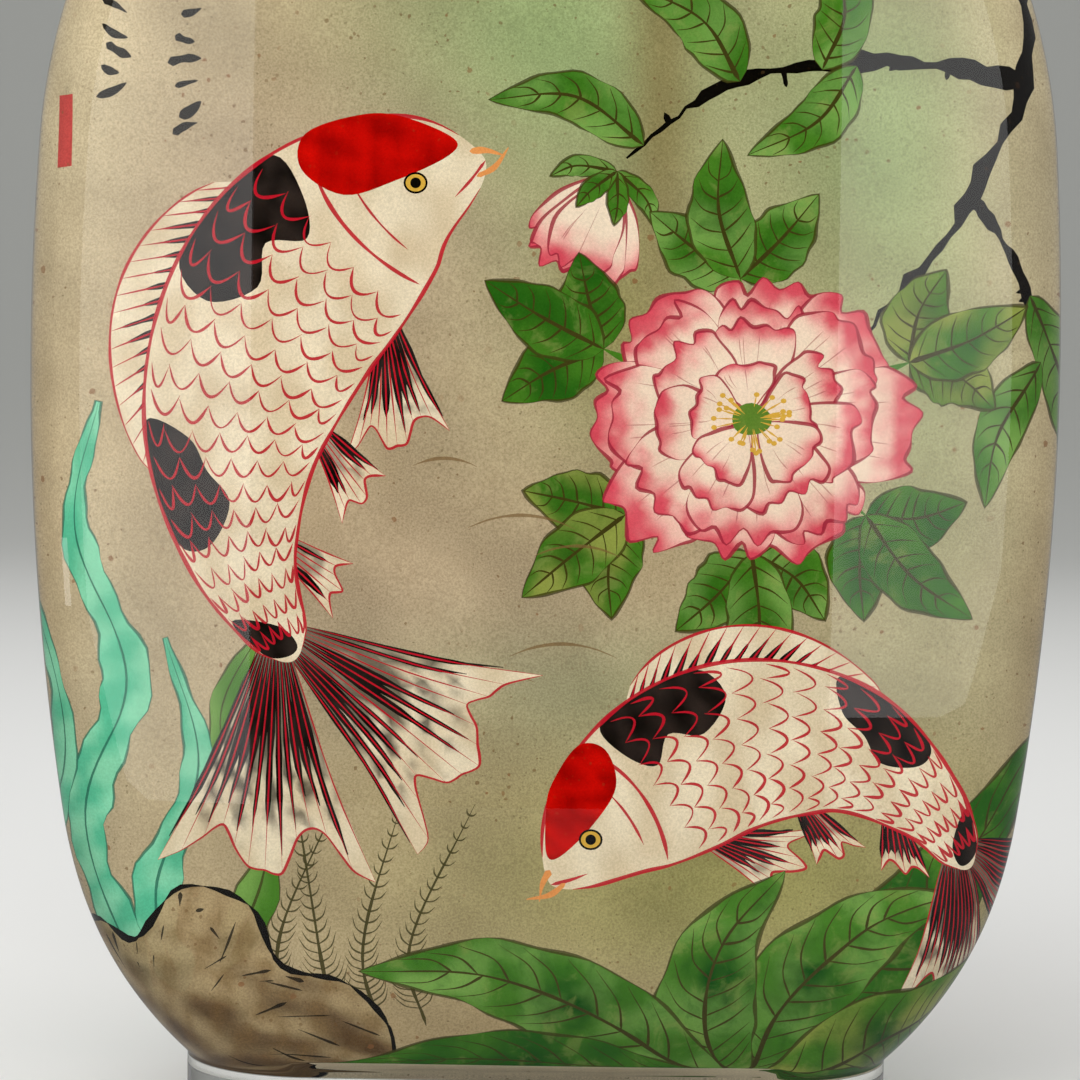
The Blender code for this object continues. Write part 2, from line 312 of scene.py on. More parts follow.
class Finish:
    # a material and its nodes
    def __init__(self, name, values):
        self.material = bpy.data.materials.new(name)
        self.material.use_nodes = True
        self.tree = self.material.node_tree
        self.shader = self.tree.nodes["Principled BSDF"]
        for key, value in values.items():
            self.set(key, value)

    def set(self, socketName, value):
        socket = self.shader.inputs[socketName]
        if isinstance(value, Wire):
            self.tree.links.new(value.socket, socket)
        else:
            socket.default_value = value

    def add(self, kind, settings, inputs, output=0):
        # any node: its settings first, then the values or links of its sockets by name or number
        node = self.tree.nodes.new(kind)
        for key, value in settings.items():
            setattr(node, key, value)
        for key, value in inputs.items():
            if isinstance(value, Wire):
                self.tree.links.new(value.socket, node.inputs[key])
            else:
                node.inputs[key].default_value = value
        return Wire(self, node.outputs[output])

    def place(self, scale=(1, 1, 1)):
        # object coordinates, in units of a mm times scale
        spot = self.add("ShaderNodeTexCoord", {}, {}, "Object")
        return self.add("ShaderNodeMapping", {}, {"Vector": spot, "Scale": [s / mm for s in scale]})

    def noise(self, where, size, detail=2.0, roughness=0.5, distortion=0.0, output="Fac"):
        # noise whose patches are about size mm across
        inputs = {"Vector": where, "Scale": 1 / size, "Detail": detail}
        inputs |= {"Roughness": roughness, "Distortion": distortion}
        return self.add("ShaderNodeTexNoise", {}, inputs, output)

    def mix(self, share, under, over, blend="MIX"):
        # colours are sockets 6 and 7 of a Mix node, and its output 2
        under, over = (c if isinstance(c, Wire) else (*c, 1.0) for c in (under, over))
        settings = {"data_type": "RGBA", "blend_type": blend}
        return self.add("ShaderNodeMix", settings, {0: share, 6: under, 7: over}, 2)


def tone(red, green, blue):
    # a colour as it looks on a screen, 0 to 255, made linear
    c = np.array([red, green, blue]) / 255
    return tuple(np.where(c <= 0.04045, c / 12.92, ((c + 0.055) / 1.055) ** 2.4).tolist())


# The glass, in one loft: the recess under the foot, the foot, the body, the neck, the lip, and
# down the bore and the hollow to its floor.
def footSections():
    # sections from near the middle of the recess: out over it, down its rounded wall, out over
    # the rim that the bottle stands on, round its outer edge and up to the body; the roundings
    # are quarters of circles
    halfWidth, halfDeep, radius = form["footWidth"] / 2, form["footDepth"] / 2, form["footEdgeRadius"]
    rim, recess = form["footRimWidth"], form["footRecessDepth"]
    arris, inner = form["footArris"], form["footInnerArris"]

    def inset(by, z):
        return halfWidth - by, halfDeep - by, radius - by, z

    rows = []
    for share in (0.85, 0.6, 0.3, 0.02):  # of the way from the recess's wall to its middle
        width, deep = (halfWidth - rim) * (1 - share), (halfDeep - rim) * (1 - share)
        rows.append((width, deep, max(0.05, radius - rim - share * (halfWidth - rim)), recess))
    turns = np.linspace(0, math.pi / 2, fineness["footPoints"])
    arcs = list(zip(1 - np.sin(turns), 1 - np.cos(turns)))
    rows += [inset(rim + inner * a, recess - inner * b) for a, b in arcs]
    rows += [inset(rim, 0.25)]
    rows += [inset(rim - inner * b, inner * a) for a, b in arcs]
    rows += [inset(arris * a, arris * b) for a, b in arcs]
    rows += [inset(0, z) for z in np.linspace(0.5, form["footHeight"], 6)]
    return np.array(rows)


def glassSections():
    # the foot's sections, the fillet into the body, the body, the neck and the lip's and the
    # mouth's quarter circles, and then the bore and the hollow from the top down
    turns = np.linspace(0, footTurn, fineness["footPoints"])[1:-1]
    x = form["footWidth"] / 2 + form["footFillet"] * (1 - np.cos(turns))
    z = form["footHeight"] + form["footFillet"] * np.sin(turns)
    body = flank(0, footTurn, form["neckRadius"], form["neckFillet"], fineness["glassDensity"])
    outer = np.concatenate([np.stack([x, z], 1), body])
    turns = np.linspace(0, math.pi / 2, fineness["mouthPoints"])
    lip, mouth = form["lipRadius"], form["mouthChamfer"]
    radius = form["neckRadius"] - lip * (1 - np.cos(turns))
    lipRows = np.stack([radius, radius, radius, lipZ - lip * (1 - np.sin(turns))], 1)
    radius = form["boreRadius"] + mouth * (1 - np.sin(turns))
    mouthRows = np.stack([radius, radius, radius, lipZ - mouth * (1 - np.cos(turns))], 1)
    inner, boreZ = hollowOutline(fineness["hollowDensity"])
    hollow = sectionsOf(inner[::-1], True, boreZ)
    return np.concatenate([footSections(), sectionsOf(outer), lipRows, mouthRows, hollow])


def hollowOutline(dense, film=0.0):
    # the hollow's outline (x, z) from the edge of its floor up to the bore, and the bore's start;
    # film is how far outside the hollow it lies, within the glass
    low = form["floorCornerRadius"] + film
    level = floorZ - film
    radius = form["lowerCornerRadius"] - form["wall"] + film
    sine = (cornerZ - low - level) / (radius - low)
    floorTurn = math.asin(min(1.0, max(0.0, sine)))
    side = flank(form["wall"] - film, floorTurn, form["boreRadius"] + film, form["boreFillet"] - film, dense)
    turns = np.linspace(math.pi / 2, floorTurn, int(fineness["floorPoints"] * dense))[:-1]
    centre = (cornerX + (radius - low) * math.cos(floorTurn), level + low)
    corner = arcOutline(centre, low, turns, -1)
    return np.concatenate([corner, side]), side[-1][1]


def lofted(rings):
    # quads between neighbouring rings, and both ends closed by triangles to their middles
    count, around = rings.shape[:2]
    index = np.arange(count * around).reshape(count, around)
    after = np.roll(index, -1, axis=1)
    quads = np.stack([index[:-1], after[:-1], after[1:], index[1:]], 2).reshape(-1, 4)
    points = rings.reshape(-1, 3)
    triangles = []
    for ring, order in ((0, -1), (-1, 1)):
        points = np.vstack([points, rings[ring].mean(axis=0)])
        middle = np.full(around, len(points) - 1)
        triangles.append(np.stack([index[ring], after[ring], middle], 1)[:, ::order])
    return points, quads, np.concatenate(triangles)


def glassPiece():
    finish = Finish("clear_glass", {
        "Base Color": (0.985, 0.992, 0.985, 1),
        "Roughness": 0.0,
        "IOR": 1.5,
        "Transmission Weight": 1.0,
    })
    mesh = meshOf("flask_glass", *lofted(ringPoints(glassSections())))
    piece = linkPiece("flask_glass", mesh, finish.material, ["bottle"])
    piece.visible_shadow = False  # lamps reach the painting through the glass
    return piece


flask = glassPiece()
print("glass made:", len(flask.data.polygons), "faces")


# The stopper: a tapered plug in the bore, a collar on the lip and a domed cap on the collar.
stopper = {
    "seatGap": 0.3,
    "collarRadius": 8.3,
    "collarThickness": 1.2,
    "capRadius": 7.7,
    "capHeight": 8.2,
    "capSkirt": 1.2,
    "capArris": 0.4,
    "plugClearance": 0.3,
    "plugLength": 5.6,
    "plugTaper": 0.2,
    "plugChamfer": 0.4,
    "poleRadius": 0.03,
    "segments": 96,
    "rimPoints": 17,
    "arrisPoints": 5,
    "domePoints": 40,
    "sharpFrom": 35.0,  # degrees
    "corkTones": ((168, 124, 82), (206, 166, 118), (96, 62, 38)),  # dark grain, light grain, pits
    "hornTones": ((26, 22, 20), (74, 52, 38)),  # ground, streaks
    "stoneTones": ((20, 84, 46), (74, 148, 84), (168, 204, 158), (14, 54, 34)),
}


def turnedPiece(name, profile, finish, node):
    # a solid turned on the bottle's axis from (radius, level) points, from its base to its top
    turns = np.linspace(0, 2 * math.pi, stopper["segments"], endpoint=False)
    radius, level = np.array(profile, float).T[:, :, None]
    flat = np.ones_like(turns)
    rings = np.stack([radius * np.cos(turns), radius * np.sin(turns), level * flat], 2)
    mesh = meshOf(name, *lofted(rings))
    mesh.set_sharp_from_angle(angle=math.radians(stopper["sharpFrom"]))
    return linkPiece(name, mesh, finish.material, [node])


def corkFinish():
    # a mottled grain with dark pits, which the bump lowers
    dark, light, pit = (tone(*values) for values in stopper["corkTones"])
    finish = Finish("cork", {"Roughness": 0.85, "Specular IOR Level": 0.3})
    where = finish.place()
    grain = finish.noise(where, 0.7, 4.0, 0.65)
    pits = finish.noise(where, 0.32, 3.0, 0.6, 0.8).over(0.60, 0.70)
    finish.set("Base Color", finish.mix(pits, finish.mix(grain.over(0.3, 0.7), dark, light), pit))
    raised = finish.add("ShaderNodeBump", {}, {"Strength": 0.35, "Distance": 0.0002, "Height": grain - pits})
    finish.set("Normal", raised)
    return finish


def hornFinish():
    # nearly black horn with faint brown streaks across the disc
    ground, streak = (tone(*values) for values in stopper["hornTones"])
    finish = Finish("dark_horn", {"Roughness": 0.28})
    where = finish.place((1.0, 0.18, 1.0))
    streaks = finish.noise(where, 0.9, 4.0, 0.6, 0.4).over(0.45, 0.75)
    finish.set("Base Color", finish.mix(streaks, ground, streak))
    return finish


def capFinish():
    # green stone: deep green clouded with lighter green, thin pale wisps and dark specks
    deep, cloudy, wisp, speck = (tone(*values) for values in stopper["stoneTones"])
    finish = Finish("green_cap", {"Roughness": 0.12, "Coat Weight": 0.3, "Coat Roughness": 0.05})
    where = finish.place()
    clouds = finish.noise(where, 5.0, 5.0, 0.6, 0.9).over(0.35, 0.68)
    wisps = finish.noise(where, 2.6, 5.0, 0.7, 2.2).over(0.57, 0.66)
    specks = finish.noise(where, 0.5, 2.0, 0.5).over(0.62, 0.72)
    colour = finish.mix(clouds, deep, cloudy)
    colour = finish.mix(wisps * 0.45, colour, wisp)
    finish.set("Base Color", finish.mix(specks * 0.5, colour, speck))
    return finish


def stopperPieces():
    # each profile closes at a small pole at both ends; the plug is straight-sided with a chamfer,
    # the collar's rim is half a circle, and the cap is a quarter of an ellipse on a short skirt
    pole, chamfer, arris = stopper["poleRadius"], stopper["plugChamfer"], stopper["capArris"]
    topRadius = form["boreRadius"] - stopper["plugClearance"]
    lowRadius = topRadius - stopper["plugTaper"]
    low = lipZ - stopper["plugLength"]
    tip = [(pole, low), (lowRadius - chamfer, low), (lowRadius, low + chamfer)]
    plug = [*tip, (topRadius, lipZ), (pole, lipZ)]
    turnedPiece("cork_plug", plug, corkFinish(), "stopper_plug")
    rim = stopper["collarThickness"] / 2
    middle = lipZ + stopper["seatGap"] + rim
    turns = np.linspace(-math.pi / 2, math.pi / 2, stopper["rimPoints"])
    edge = np.stack([stopper["collarRadius"] - rim + rim * np.cos(turns), middle + rim * np.sin(turns)], 1)
    collar = [(pole, middle - rim), *edge.tolist(), (pole, middle + rim)]
    turnedPiece("horn_collar", collar, hornFinish(), "stopper_collar")
    base = middle + rim + stopper["seatGap"]
    radius, height, skirt = stopper["capRadius"], stopper["capHeight"], stopper["capSkirt"]
    turns = np.linspace(0, math.pi / 2, stopper["arrisPoints"])
    foot = np.stack([radius - arris * (1 - np.sin(turns)), base + arris * (1 - np.cos(turns))], 1)
    turns = np.linspace(0, math.pi / 2, stopper["domePoints"], endpoint=False)
    dome = np.stack([radius * np.cos(turns), base + skirt + (height - skirt) * np.sin(turns)], 1)
    cap = [(pole, base), *foot.tolist(), *dome.tolist(), (pole, base + height)]
    turnedPiece("stone_cap", cap, capFinish(), "stopper_cap")


stopperPieces()
print("stopper made")


# The painting lies on the inner wall. It is laid out on two flat sheets, one for each face:
# p runs along the wall from the middle of the face, to the right as that face is seen, and q
# runs up, both in mm. q is the level, except near the floor and the neck, where it follows the
# wall's outline.
sheet = {
    "film": 0.08,  # how far the painting lies inside the glass, so that no air is left between
    "levelFrom": 9.5,
    "levelTo": 61.0,
    "seamStep": 0.5,
    "gridStep": 0.5,
    "edgeStep": 0.28,  # at the rounded edges
    "edgeFrom": 19.0,
    "poleShare": 0.002,  # how much of the floor is left open at its middle
    "floorRows": 24,
    "topPoints": 41,  # along the border at the neck
    "seamGap": 0.15,  # between the seams and the points inside
    "merge": 1e-5,  # points of the flat sheet closer than this are one
}


def wallTable():
    # the quarter of the inner wall from the middle of a face to the middle of a side: a row for
    # each q, with its level, its length, and x and y at even shares of that length
    outline, boreZ = hollowOutline(fineness["skinDensity"], sheet["film"])
    rows = sectionsOf(outline, True, boreZ, sheet["film"])
    shares = np.linspace(sheet["poleShare"], 1, sheet["floorRows"])[:-1, None]
    floorRows = rows[0] * [1, 1, 1, 0] * shares + [0, 0, 0, rows[0, 3]]
    rows = np.concatenate([floorRows, rows])
    z = rows[:, 3]
    along = np.concatenate([[0], np.cumsum(np.hypot(np.diff(rows[:, 0]), np.diff(z)))])
    low, high = sheet["levelFrom"], sheet["levelTo"]
    atLow, atHigh = np.interp([low, high], z, along)
    q = np.where(z < low, low + along - atLow, np.where(z > high, high + along - atHigh, z))
    wanted = np.linspace(q[0], q[-1], fineness["skinRows"])
    rows = np.stack([np.interp(wanted, q, column) for column in rows.T], 1)
    x, y = quarterOutlines(*rows.T[:3])[:2]
    length = runningLength(x, y)
    share = np.tile(np.linspace(0, 1, fineness["skinColumns"]), (len(x), 1))
    place = length / length[:, -1:]
    return {
        "q": wanted,
        "z": rows[:, 3],
        "quarter": length[:, -1],
        "x": resample(share, place, x),
        "y": resample(share, place, y),
    }


wall = wallTable()


def readTable(table, rowAt, columnAt):
    # a table read at fractional rows and columns, in a straight line between its entries
    row = np.clip(rowAt.astype(int), 0, table.shape[0] - 2)
    column = np.clip(columnAt.astype(int), 0, table.shape[1] - 2)
    down, across = rowAt - row, columnAt - column
    low = table[row, column] * (1 - across) + table[row, column + 1] * across
    high = table[row + 1, column] * (1 - across) + table[row + 1, column + 1] * across
    return low * (1 - down) + high * down


def quarterAt(q):
    # how far it is along the wall from the middle of a face to the middle of a side
    return np.interp(q, wall["q"], wall["quarter"])


def ontoWall(p, q, back):
    # points (x, y, z) of the inner wall, read from its table at q's row and at the column where
    # the length is |p|; the back's are turned by half a turn about the bottle's axis
    rowAt = np.interp(q, wall["q"], np.arange(len(wall["q"])))
    columnAt = np.clip(np.abs(p) / quarterAt(q), 0, 1) * (fineness["skinColumns"] - 1)
    side = -1 if back else 1
    x = side * np.sign(p) * readTable(wall["x"], rowAt, columnAt)
    y = side * readTable(wall["y"], rowAt, columnAt)
    return np.stack([x, y, np.interp(q, wall["q"], wall["z"])], 1)


def curveThrough(points, steps, closed=False):
    # a smooth curve through points: between two of them it is the cubic whose slope at each end
    # is half the step between that end's neighbours
    points = np.asarray(points, float)
    if closed:
        before, after, beyond = (np.roll(points, k, axis=0) for k in (1, -1, -2))
        start = points
    else:
        padded = np.vstack([2 * points[0] - points[1], points, 2 * points[-1] - points[-2]])
        before, start, after, beyond = padded[:-3], padded[1:-2], padded[2:-1], padded[3:]
    t = np.linspace(0, 1, steps, endpoint=False)[None, :, None]
    a, b, c, d = (v[:, None, :] for v in (before, start, after, beyond))
    curve = 0.5 * (2 * b + (c - a) * t + (2 * a - 5 * b + 4 * c - d) * t**2 + (3 * b - a - 3 * c + d) * t**3)
    curve = curve.reshape(-1, 2)
    return curve if closed else np.vstack([curve, points[-1]])


def sidewaysOf(line):
    # unit vectors across a line, to its left
    along = np.gradient(line, axis=0)
    along /= np.maximum(np.linalg.norm(along, axis=1, keepdims=True), 1e-9)
    return np.stack([-along[:, 1], along[:, 0]], 1)


brush = {
    "blunt": 0.6,  # the power of the shares left at a stroke's ends; 1 is a straight point
    "least": 0.12,  # the least share of the width
    "phases": (7.3, 3.1),  # for each mm in p and q, so that no two strokes wave alike
    "waves": ((3, 0.9, 1.0), (7, 2.3, 0.6)),  # angle along a stroke, more for each mm of it, size
}


def strokeOutline(points, width, taper=(0.25, 0.5), steps=5, uneven=0.3):
    # a brush stroke: as wide as width in its middle, and coming to a point over the shares taper;
    # two waves make its width uneven
    line = curveThrough(points, steps)
    t = np.linspace(0, 1, len(line))
    start, end = np.minimum(1, t / taper[0]), np.minimum(1, (1 - t) / taper[1])
    run = np.linalg.norm(np.diff(line, axis=0), axis=1).sum()
    phase = line[0, 0] * brush["phases"][0] + line[0, 1] * brush["phases"][1]
    wave, highest = 0, 0
    for k, (angle, more, size) in enumerate(brush["waves"]):
        wave = wave + size * np.sin(t * (angle + run * more) + (k + 1) * phase)
        highest += size
    full = start ** brush["blunt"] * end ** brush["blunt"]
    half = width / 2 * np.maximum(full * (1 + uneven * wave / highest), brush["least"])
    across = sidewaysOf(line) * half[:, None]
    return np.vstack([line + across, (line - across)[::-1]])


def cloud(p, q, size, seed):
    # soft patches about size mm across, 0 to 1: a sum of seven waves in scattered directions
    rng = np.random.default_rng(seed)
    total = np.zeros(np.shape(p))
    for _ in range(7):
        angle, phase = rng.uniform(0, 2 * math.pi, 2)
        stretch = rng.uniform(0.6, 1.5)
        along = p * math.cos(angle) + q * math.sin(angle)
        total += np.cos(along * 2 * math.pi / (size * stretch) + phase)
    return np.clip(0.5 + total / 6, 0, 1)


def spot(p, q, centre, reach):
    # 1 at the centre, falling off as a bell over the reaches in p and q
    return np.exp(-(((p - centre[0]) / reach[0]) ** 2) - ((q - centre[1]) / reach[1]) ** 2)


def mixed(under, over, share):
    # two colours by shares that may differ from point to point
    share = np.asarray(share)[..., None]
    return under * (1 - share) + np.asarray(over) * share


class Painting:
    # the shapes on one sheet, each over the ones before it, on a ground that is a function of
    # p and q
    def __init__(self, ground):
        self.ground = ground
        self.shapes = []
        self.dots = []

    def shape(self, outline, colour, cover=1.0, mottle=0.0, grain=0.4, dots=None):
        # colour is a value or a function of p and q, mottle and grain say how much of the leaf's
        # blots and of the ground's grain show, and dots are points for a wash inside the outline
        self.shapes.append((np.asarray(outline, float), colour, cover, mottle, grain))
        if dots is not None:
            self.dots.append(dots)

    def stroke(self, points, width, colour, taper=(0.25, 0.5), steps=5, cover=1.0, grain=0.3):
        # a brush stroke along points
        self.shape(strokeOutline(points, width, taper, steps), colour, cover, 0.0, grain)


def insideOf(points, outline):
    # the winding number of an outline about each point is not 0
    x, y = points[:, 0:1], points[:, 1:2]
    x0, y0 = outline.T[:, None, :]
    x1, y1 = np.roll(outline, -1, axis=0).T[:, None, :]
    left = (x1 - x0) * (y - y0) - (x - x0) * (y1 - y0)
    up = (y0 <= y) & (y1 > y) & (left > 0)
    down = (y0 > y) & (y1 <= y) & (left < 0)
    return up.sum(axis=1) != down.sum(axis=1)


def sheetGrid():
    # the sheet's border and the points inside it, closer together at the rounded edges
    q = np.append(np.arange(wall["q"][0], wall["q"][-1], sheet["seamStep"]), wall["q"][-1])
    right = np.stack([quarterAt(q), q], 1)
    reach = quarterAt(q[-1])
    top = np.linspace(-reach, reach, sheet["topPoints"])[1:-1]
    top = np.stack([top, np.full(len(top), q[-1])], 1)
    border = np.concatenate([right, top[::-1], right[::-1] * [-1, 1]])
    levels = np.arange(q[0] + 0.5 * sheet["gridStep"], q[-1], sheet["gridStep"])
    face = np.arange(-sheet["edgeFrom"], sheet["edgeFrom"] + 0.01, sheet["gridStep"])
    edge = np.arange(sheet["edgeFrom"] + sheet["edgeStep"], wall["quarter"].max(), sheet["edgeStep"])
    p = np.concatenate([-edge[::-1], face, edge])
    inside = np.stack(np.meshgrid(p, levels), 2).reshape(-1, 2)
    return border, inside[np.abs(inside[:, 0]) < quarterAt(inside[:, 1]) - sheet["seamGap"]]


def cutSheet(painting):
    # the sheet's triangles, with every outline along their sides
    border, inside = sheetGrid()
    loops = [border] + [shape[0] for shape in painting.shapes]
    points = np.concatenate([*loops, inside, *painting.dots])
    edges = []
    first = 0
    for loop in loops:
        index = np.arange(first, first + len(loop))
        edges.append(np.stack([index, np.roll(index, -1)], 1))
        first += len(loop)
    flat = [Vector(point) for point in points.tolist()]
    found = geometry.delaunay_2d_cdt(flat, np.concatenate(edges).tolist(), [], 0, sheet["merge"], False)
    points = np.array([tuple(point) for point in found[0]])
    triangles = np.array(found[2])
    p, q = points[triangles].mean(axis=1).T
    low, high = border[:, 1].min(), border[:, 1].max()
    return points, triangles[(np.abs(p) < quarterAt(q)) & (q > low) & (q < high)]


def paintedSheet(painting):
    # the cut sheet with a colour and marks at each corner: each shape colours the triangles whose
    # middles lie inside it
    points, triangles = cutSheet(painting)
    middles = points[triangles].mean(axis=1)
    p, q = points[triangles][:, :, 0], points[triangles][:, :, 1]
    colours = painting.ground(p, q)
    marks = np.zeros((len(triangles), 3, 2))
    marks[:, :, 1] = 1.0
    for outline, colour, cover, mottle, grain in painting.shapes:
        low, high = outline.min(axis=0), outline.max(axis=0)
        near = np.flatnonzero(((middles >= low) & (middles <= high)).all(axis=1))
        near = near[insideOf(middles[near], outline)]
        over = colour(p[near], q[near]) if callable(colour) else colour
        colours[near] = mixed(colours[near], over, cover)
        marks[near] = mixed(marks[near], [mottle, grain], cover)
    used = np.unique(triangles)
    renumbered = np.zeros(len(points), int)
    renumbered[used] = np.arange(len(used))
    return points[used], renumbered[triangles], colours, marks


# The paints, as they look through the glass.
paints = {
    "buff": tone(166, 149, 120),
    "mauve": tone(170, 151, 130),
    "sage": tone(138, 157, 108),
    "grey": tone(146, 148, 118),
    "olive": tone(138, 135, 82),
    "cream": tone(186, 173, 142),
    "tan": tone(164, 144, 108),
    # streak is the colour of a painted shadow: a soft dark upright band of shade on the front's ground
    "streak": tone(126, 112, 72),
    "white": tone(218, 206, 180),
    "shade": tone(202, 186, 156),
    "redLine": tone(172, 22, 38),
    "cap": tone(190, 10, 4),
    "capDeep": tone(142, 4, 2),
    "orange": tone(212, 140, 78),
    "ink": tone(10, 8, 5),
    "inkThin": tone(44, 36, 32),
    "leafDeep": tone(34, 88, 18),
    "leaf": tone(64, 114, 30),
    "leafLight": tone(108, 148, 70),
    "leafOlive": tone(132, 144, 66),
    "bloom": tone(8, 68, 8),
    "vein": tone(58, 54, 20),
    "turquoise": tone(78, 170, 134),
    "turquoiseLight": tone(124, 196, 160),
    "turquoiseDeep": tone(26, 92, 74),
    "tip": tone(192, 26, 62),
    "pink": tone(220, 112, 126),
    "pale": tone(224, 206, 184),
    "petalLine": tone(146, 36, 54),
    "heart": tone(86, 122, 42),
    "stamen": tone(200, 160, 62),
    "stone": tone(112, 86, 50),
    "stoneDeep": tone(80, 58, 34),
}
paints = {name: np.array(value) for name, value in paints.items()}
fullTurn = 6.28  # near enough to two pi for a random angle or the waves along a leaf


# Washes laid into each other on buff: a paint, and the bells (strength, centre, reach) that add up
# to its share. Green lies across the upper middle and the right, olive over the bottom and cream
# towards the upper sides.
frontWashes = (
    ("sage", (0.95, (0, 52), (9, 9)), (0.35, (6, 38), (9, 8))),
    ("sage", (0.75, (15, 49), (6, 9)), (0.5, (18, 34), (5, 12))),
    ("mauve", (0.7, (-11, 43), (9, 7)), (0.4, (-6, 24), (9, 6))),
    ("grey", (0.8, (5, 21.5), (13, 3.6))),
    ("olive", (0.95, (10, 13), (17, 7))),
    ("olive", (0.75, (3.0, 39), (2.6, 5))),
    # painted shadow: a narrow soft dark band of shade down the upper middle, laid in the streak colour
    ("streak", (0.8, (5.2, 50), (1.7, 15))),
    ("cream", (0.8, (-24, 50), (7, 16)), (0.8, (24, 46), (4, 20))),
    ("cream", (0.35, (-21, 22), (5, 8))),
)
backWashes = (
    ("sage", (0.9, (-5, 48), (12, 12))),
    ("mauve", (0.6, (9, 30), (14, 12))),
    ("olive", (0.85, (-4, 13), (18, 7))),
    ("cream", (0.8, (-24, 46), (4, 20)), (0.8, (24, 50), (7, 16))),
)


def edgeWash(laid, p, q, seed):
    # tan towards the sides and at the bottom, and pale on the floor; light and dark patches,
    # which fade towards the two seams
    laid = mixed(laid, paints["tan"], 0.7 * smooth((np.abs(p) - 21.0) / 5) * smooth((50 - q) / 30))
    laid = mixed(laid, paints["tan"], 0.7 * smooth((9.5 - q) / 5))
    laid = mixed(laid, paints["white"], 0.9 * smooth((4.0 - q) / 3))
    inside = smooth((quarterAt(q) - np.abs(p)) / 6)
    return laid * (1 + 0.20 * inside * (cloud(p, q, 7.5, seed) - 0.5))[..., None]


def groundOf(washes, seed):
    # the ground's colour: buff, the washes over it, and those of the edges over them
    def ground(p, q):
        laid = paints["buff"]
        for paint, *bells in washes:
            share = sum(strength * spot(p, q, centre, reach) for strength, centre, reach in bells)
            laid = mixed(laid, paints[paint], share)
        return edgeWash(laid, p, q, seed)

    return ground


def wash(low, high, size, seed, gain=1.0):
    # a colour that drifts between two paints in patches about size mm across
    def colour(p, q):
        return mixed(low, high, smooth(0.5 + gain * (cloud(p, q, size, seed) - 0.5)))

    return colour


def heading(angle):
    # the unit vector at an angle
    return np.array([math.cos(angle), math.sin(angle)])


def turnedBy(points, angle):
    # points turned about the origin, from p towards q
    along, across = heading(angle), heading(angle + math.pi / 2)
    return points @ np.array([along, across])


def waves(angle, orders, depth, rng):
    # a few slow waves round a ring
    return sum(rng.uniform(-depth, depth) * np.cos(k * angle + rng.uniform(0, fullTurn)) for k in orders)


def oval(centre, radii, tilt=0.0, count=40, wobble=0.0, seed=0):
    # an oval outline, tilted by degrees and uneven by wobble
    angle = np.linspace(0, 2 * math.pi, count, endpoint=False)
    radius = 1 + waves(angle, (2, 3, 4, 5), wobble, np.random.default_rng(seed))
    points = np.stack([radii[0] * np.cos(angle), radii[1] * np.sin(angle)], 1) * radius[:, None]
    return turnedBy(points, math.radians(tilt)) + np.array(centre)


def rimLine(picture, ring, width, paint, cover=0.9):
    # a line along a closed outline, which swells and thins
    ring = np.vstack([ring, ring[:1]])
    picture.shape(strokeOutline(ring, width, (0.02, 0.02), 1, 0.85), paint, cover, 0.0, 0.2)


ruffled = (  # half a petal's outline: share of the length, share of the width
    (0.0, 0.08), (0.2, 0.26), (0.44, 0.43), (0.68, 0.52), (0.86, 0.50),
    (0.96, 0.38), (0.945, 0.27), (1.02, 0.15), (0.965, 0.0),
)


def petal(picture, base, tip, width, seed, deep):
    # a broad petal with a ruffled end: cream, crimson over the share deep at the end and fading
    rng = np.random.default_rng(seed)
    along = tip - base
    across = np.array([-along[1], along[0]]) / np.linalg.norm(along) * width
    half = np.array(ruffled)
    shares = np.vstack([half, half[-2::-1] * [1, -1]])
    shares = shares * (1 + rng.uniform(-0.07, 0.07, shares.shape))
    outline = curveThrough(base + shares[:, :1] * along + shares[:, 1:] * across, 4, True)
    lean = rng.uniform(-0.5, 0.5)

    def colour(p, q):
        a = ((p - base[0]) * along[0] + (q - base[1]) * along[1]) / (along @ along)
        b = ((p - base[0]) * across[0] + (q - base[1]) * across[1]) / (width * width)
        a = a + 0.1 * lean * b + 0.12 * (cloud(p, q, 1.3, seed) - 0.5)
        tipped = smooth((a - 1 + deep) / deep)
        margin = smooth((np.abs(b) - 0.22) / 0.3) * smooth((a - 0.35) / 0.5)
        rosy = np.clip(0.75 * tipped**1.3 + 0.12 * margin, 0, 1)
        laid = mixed(paints["pale"], paints["pink"], rosy)
        return mixed(laid, paints["tip"], np.clip(0.8 * tipped**3.2, 0, 1))

    a, b = np.meshgrid(np.linspace(0.08, 0.96, 13), np.linspace(-0.4, 0.4, 7))
    dots = base + a.reshape(-1, 1) * along + b.reshape(-1, 1) * across
    picture.shape(outline, colour, 1.0, 0.0, 0.3, dots)
    for k in rng.uniform(-0.3, 0.3, 3):
        start = base + along * (0.88 - abs(k) * 0.3) + across * k * 1.2
        end = base + along * rng.uniform(0.3, 0.55) + across * k * 0.7
        middle = (start + end) / 2 + across * k * 0.08
        picture.stroke([start, middle, end], 0.06, paints["petalLine"], (0.1, 0.9), 3, 0.5)
    rimLine(picture, outline, 0.11, paints["petalLine"])


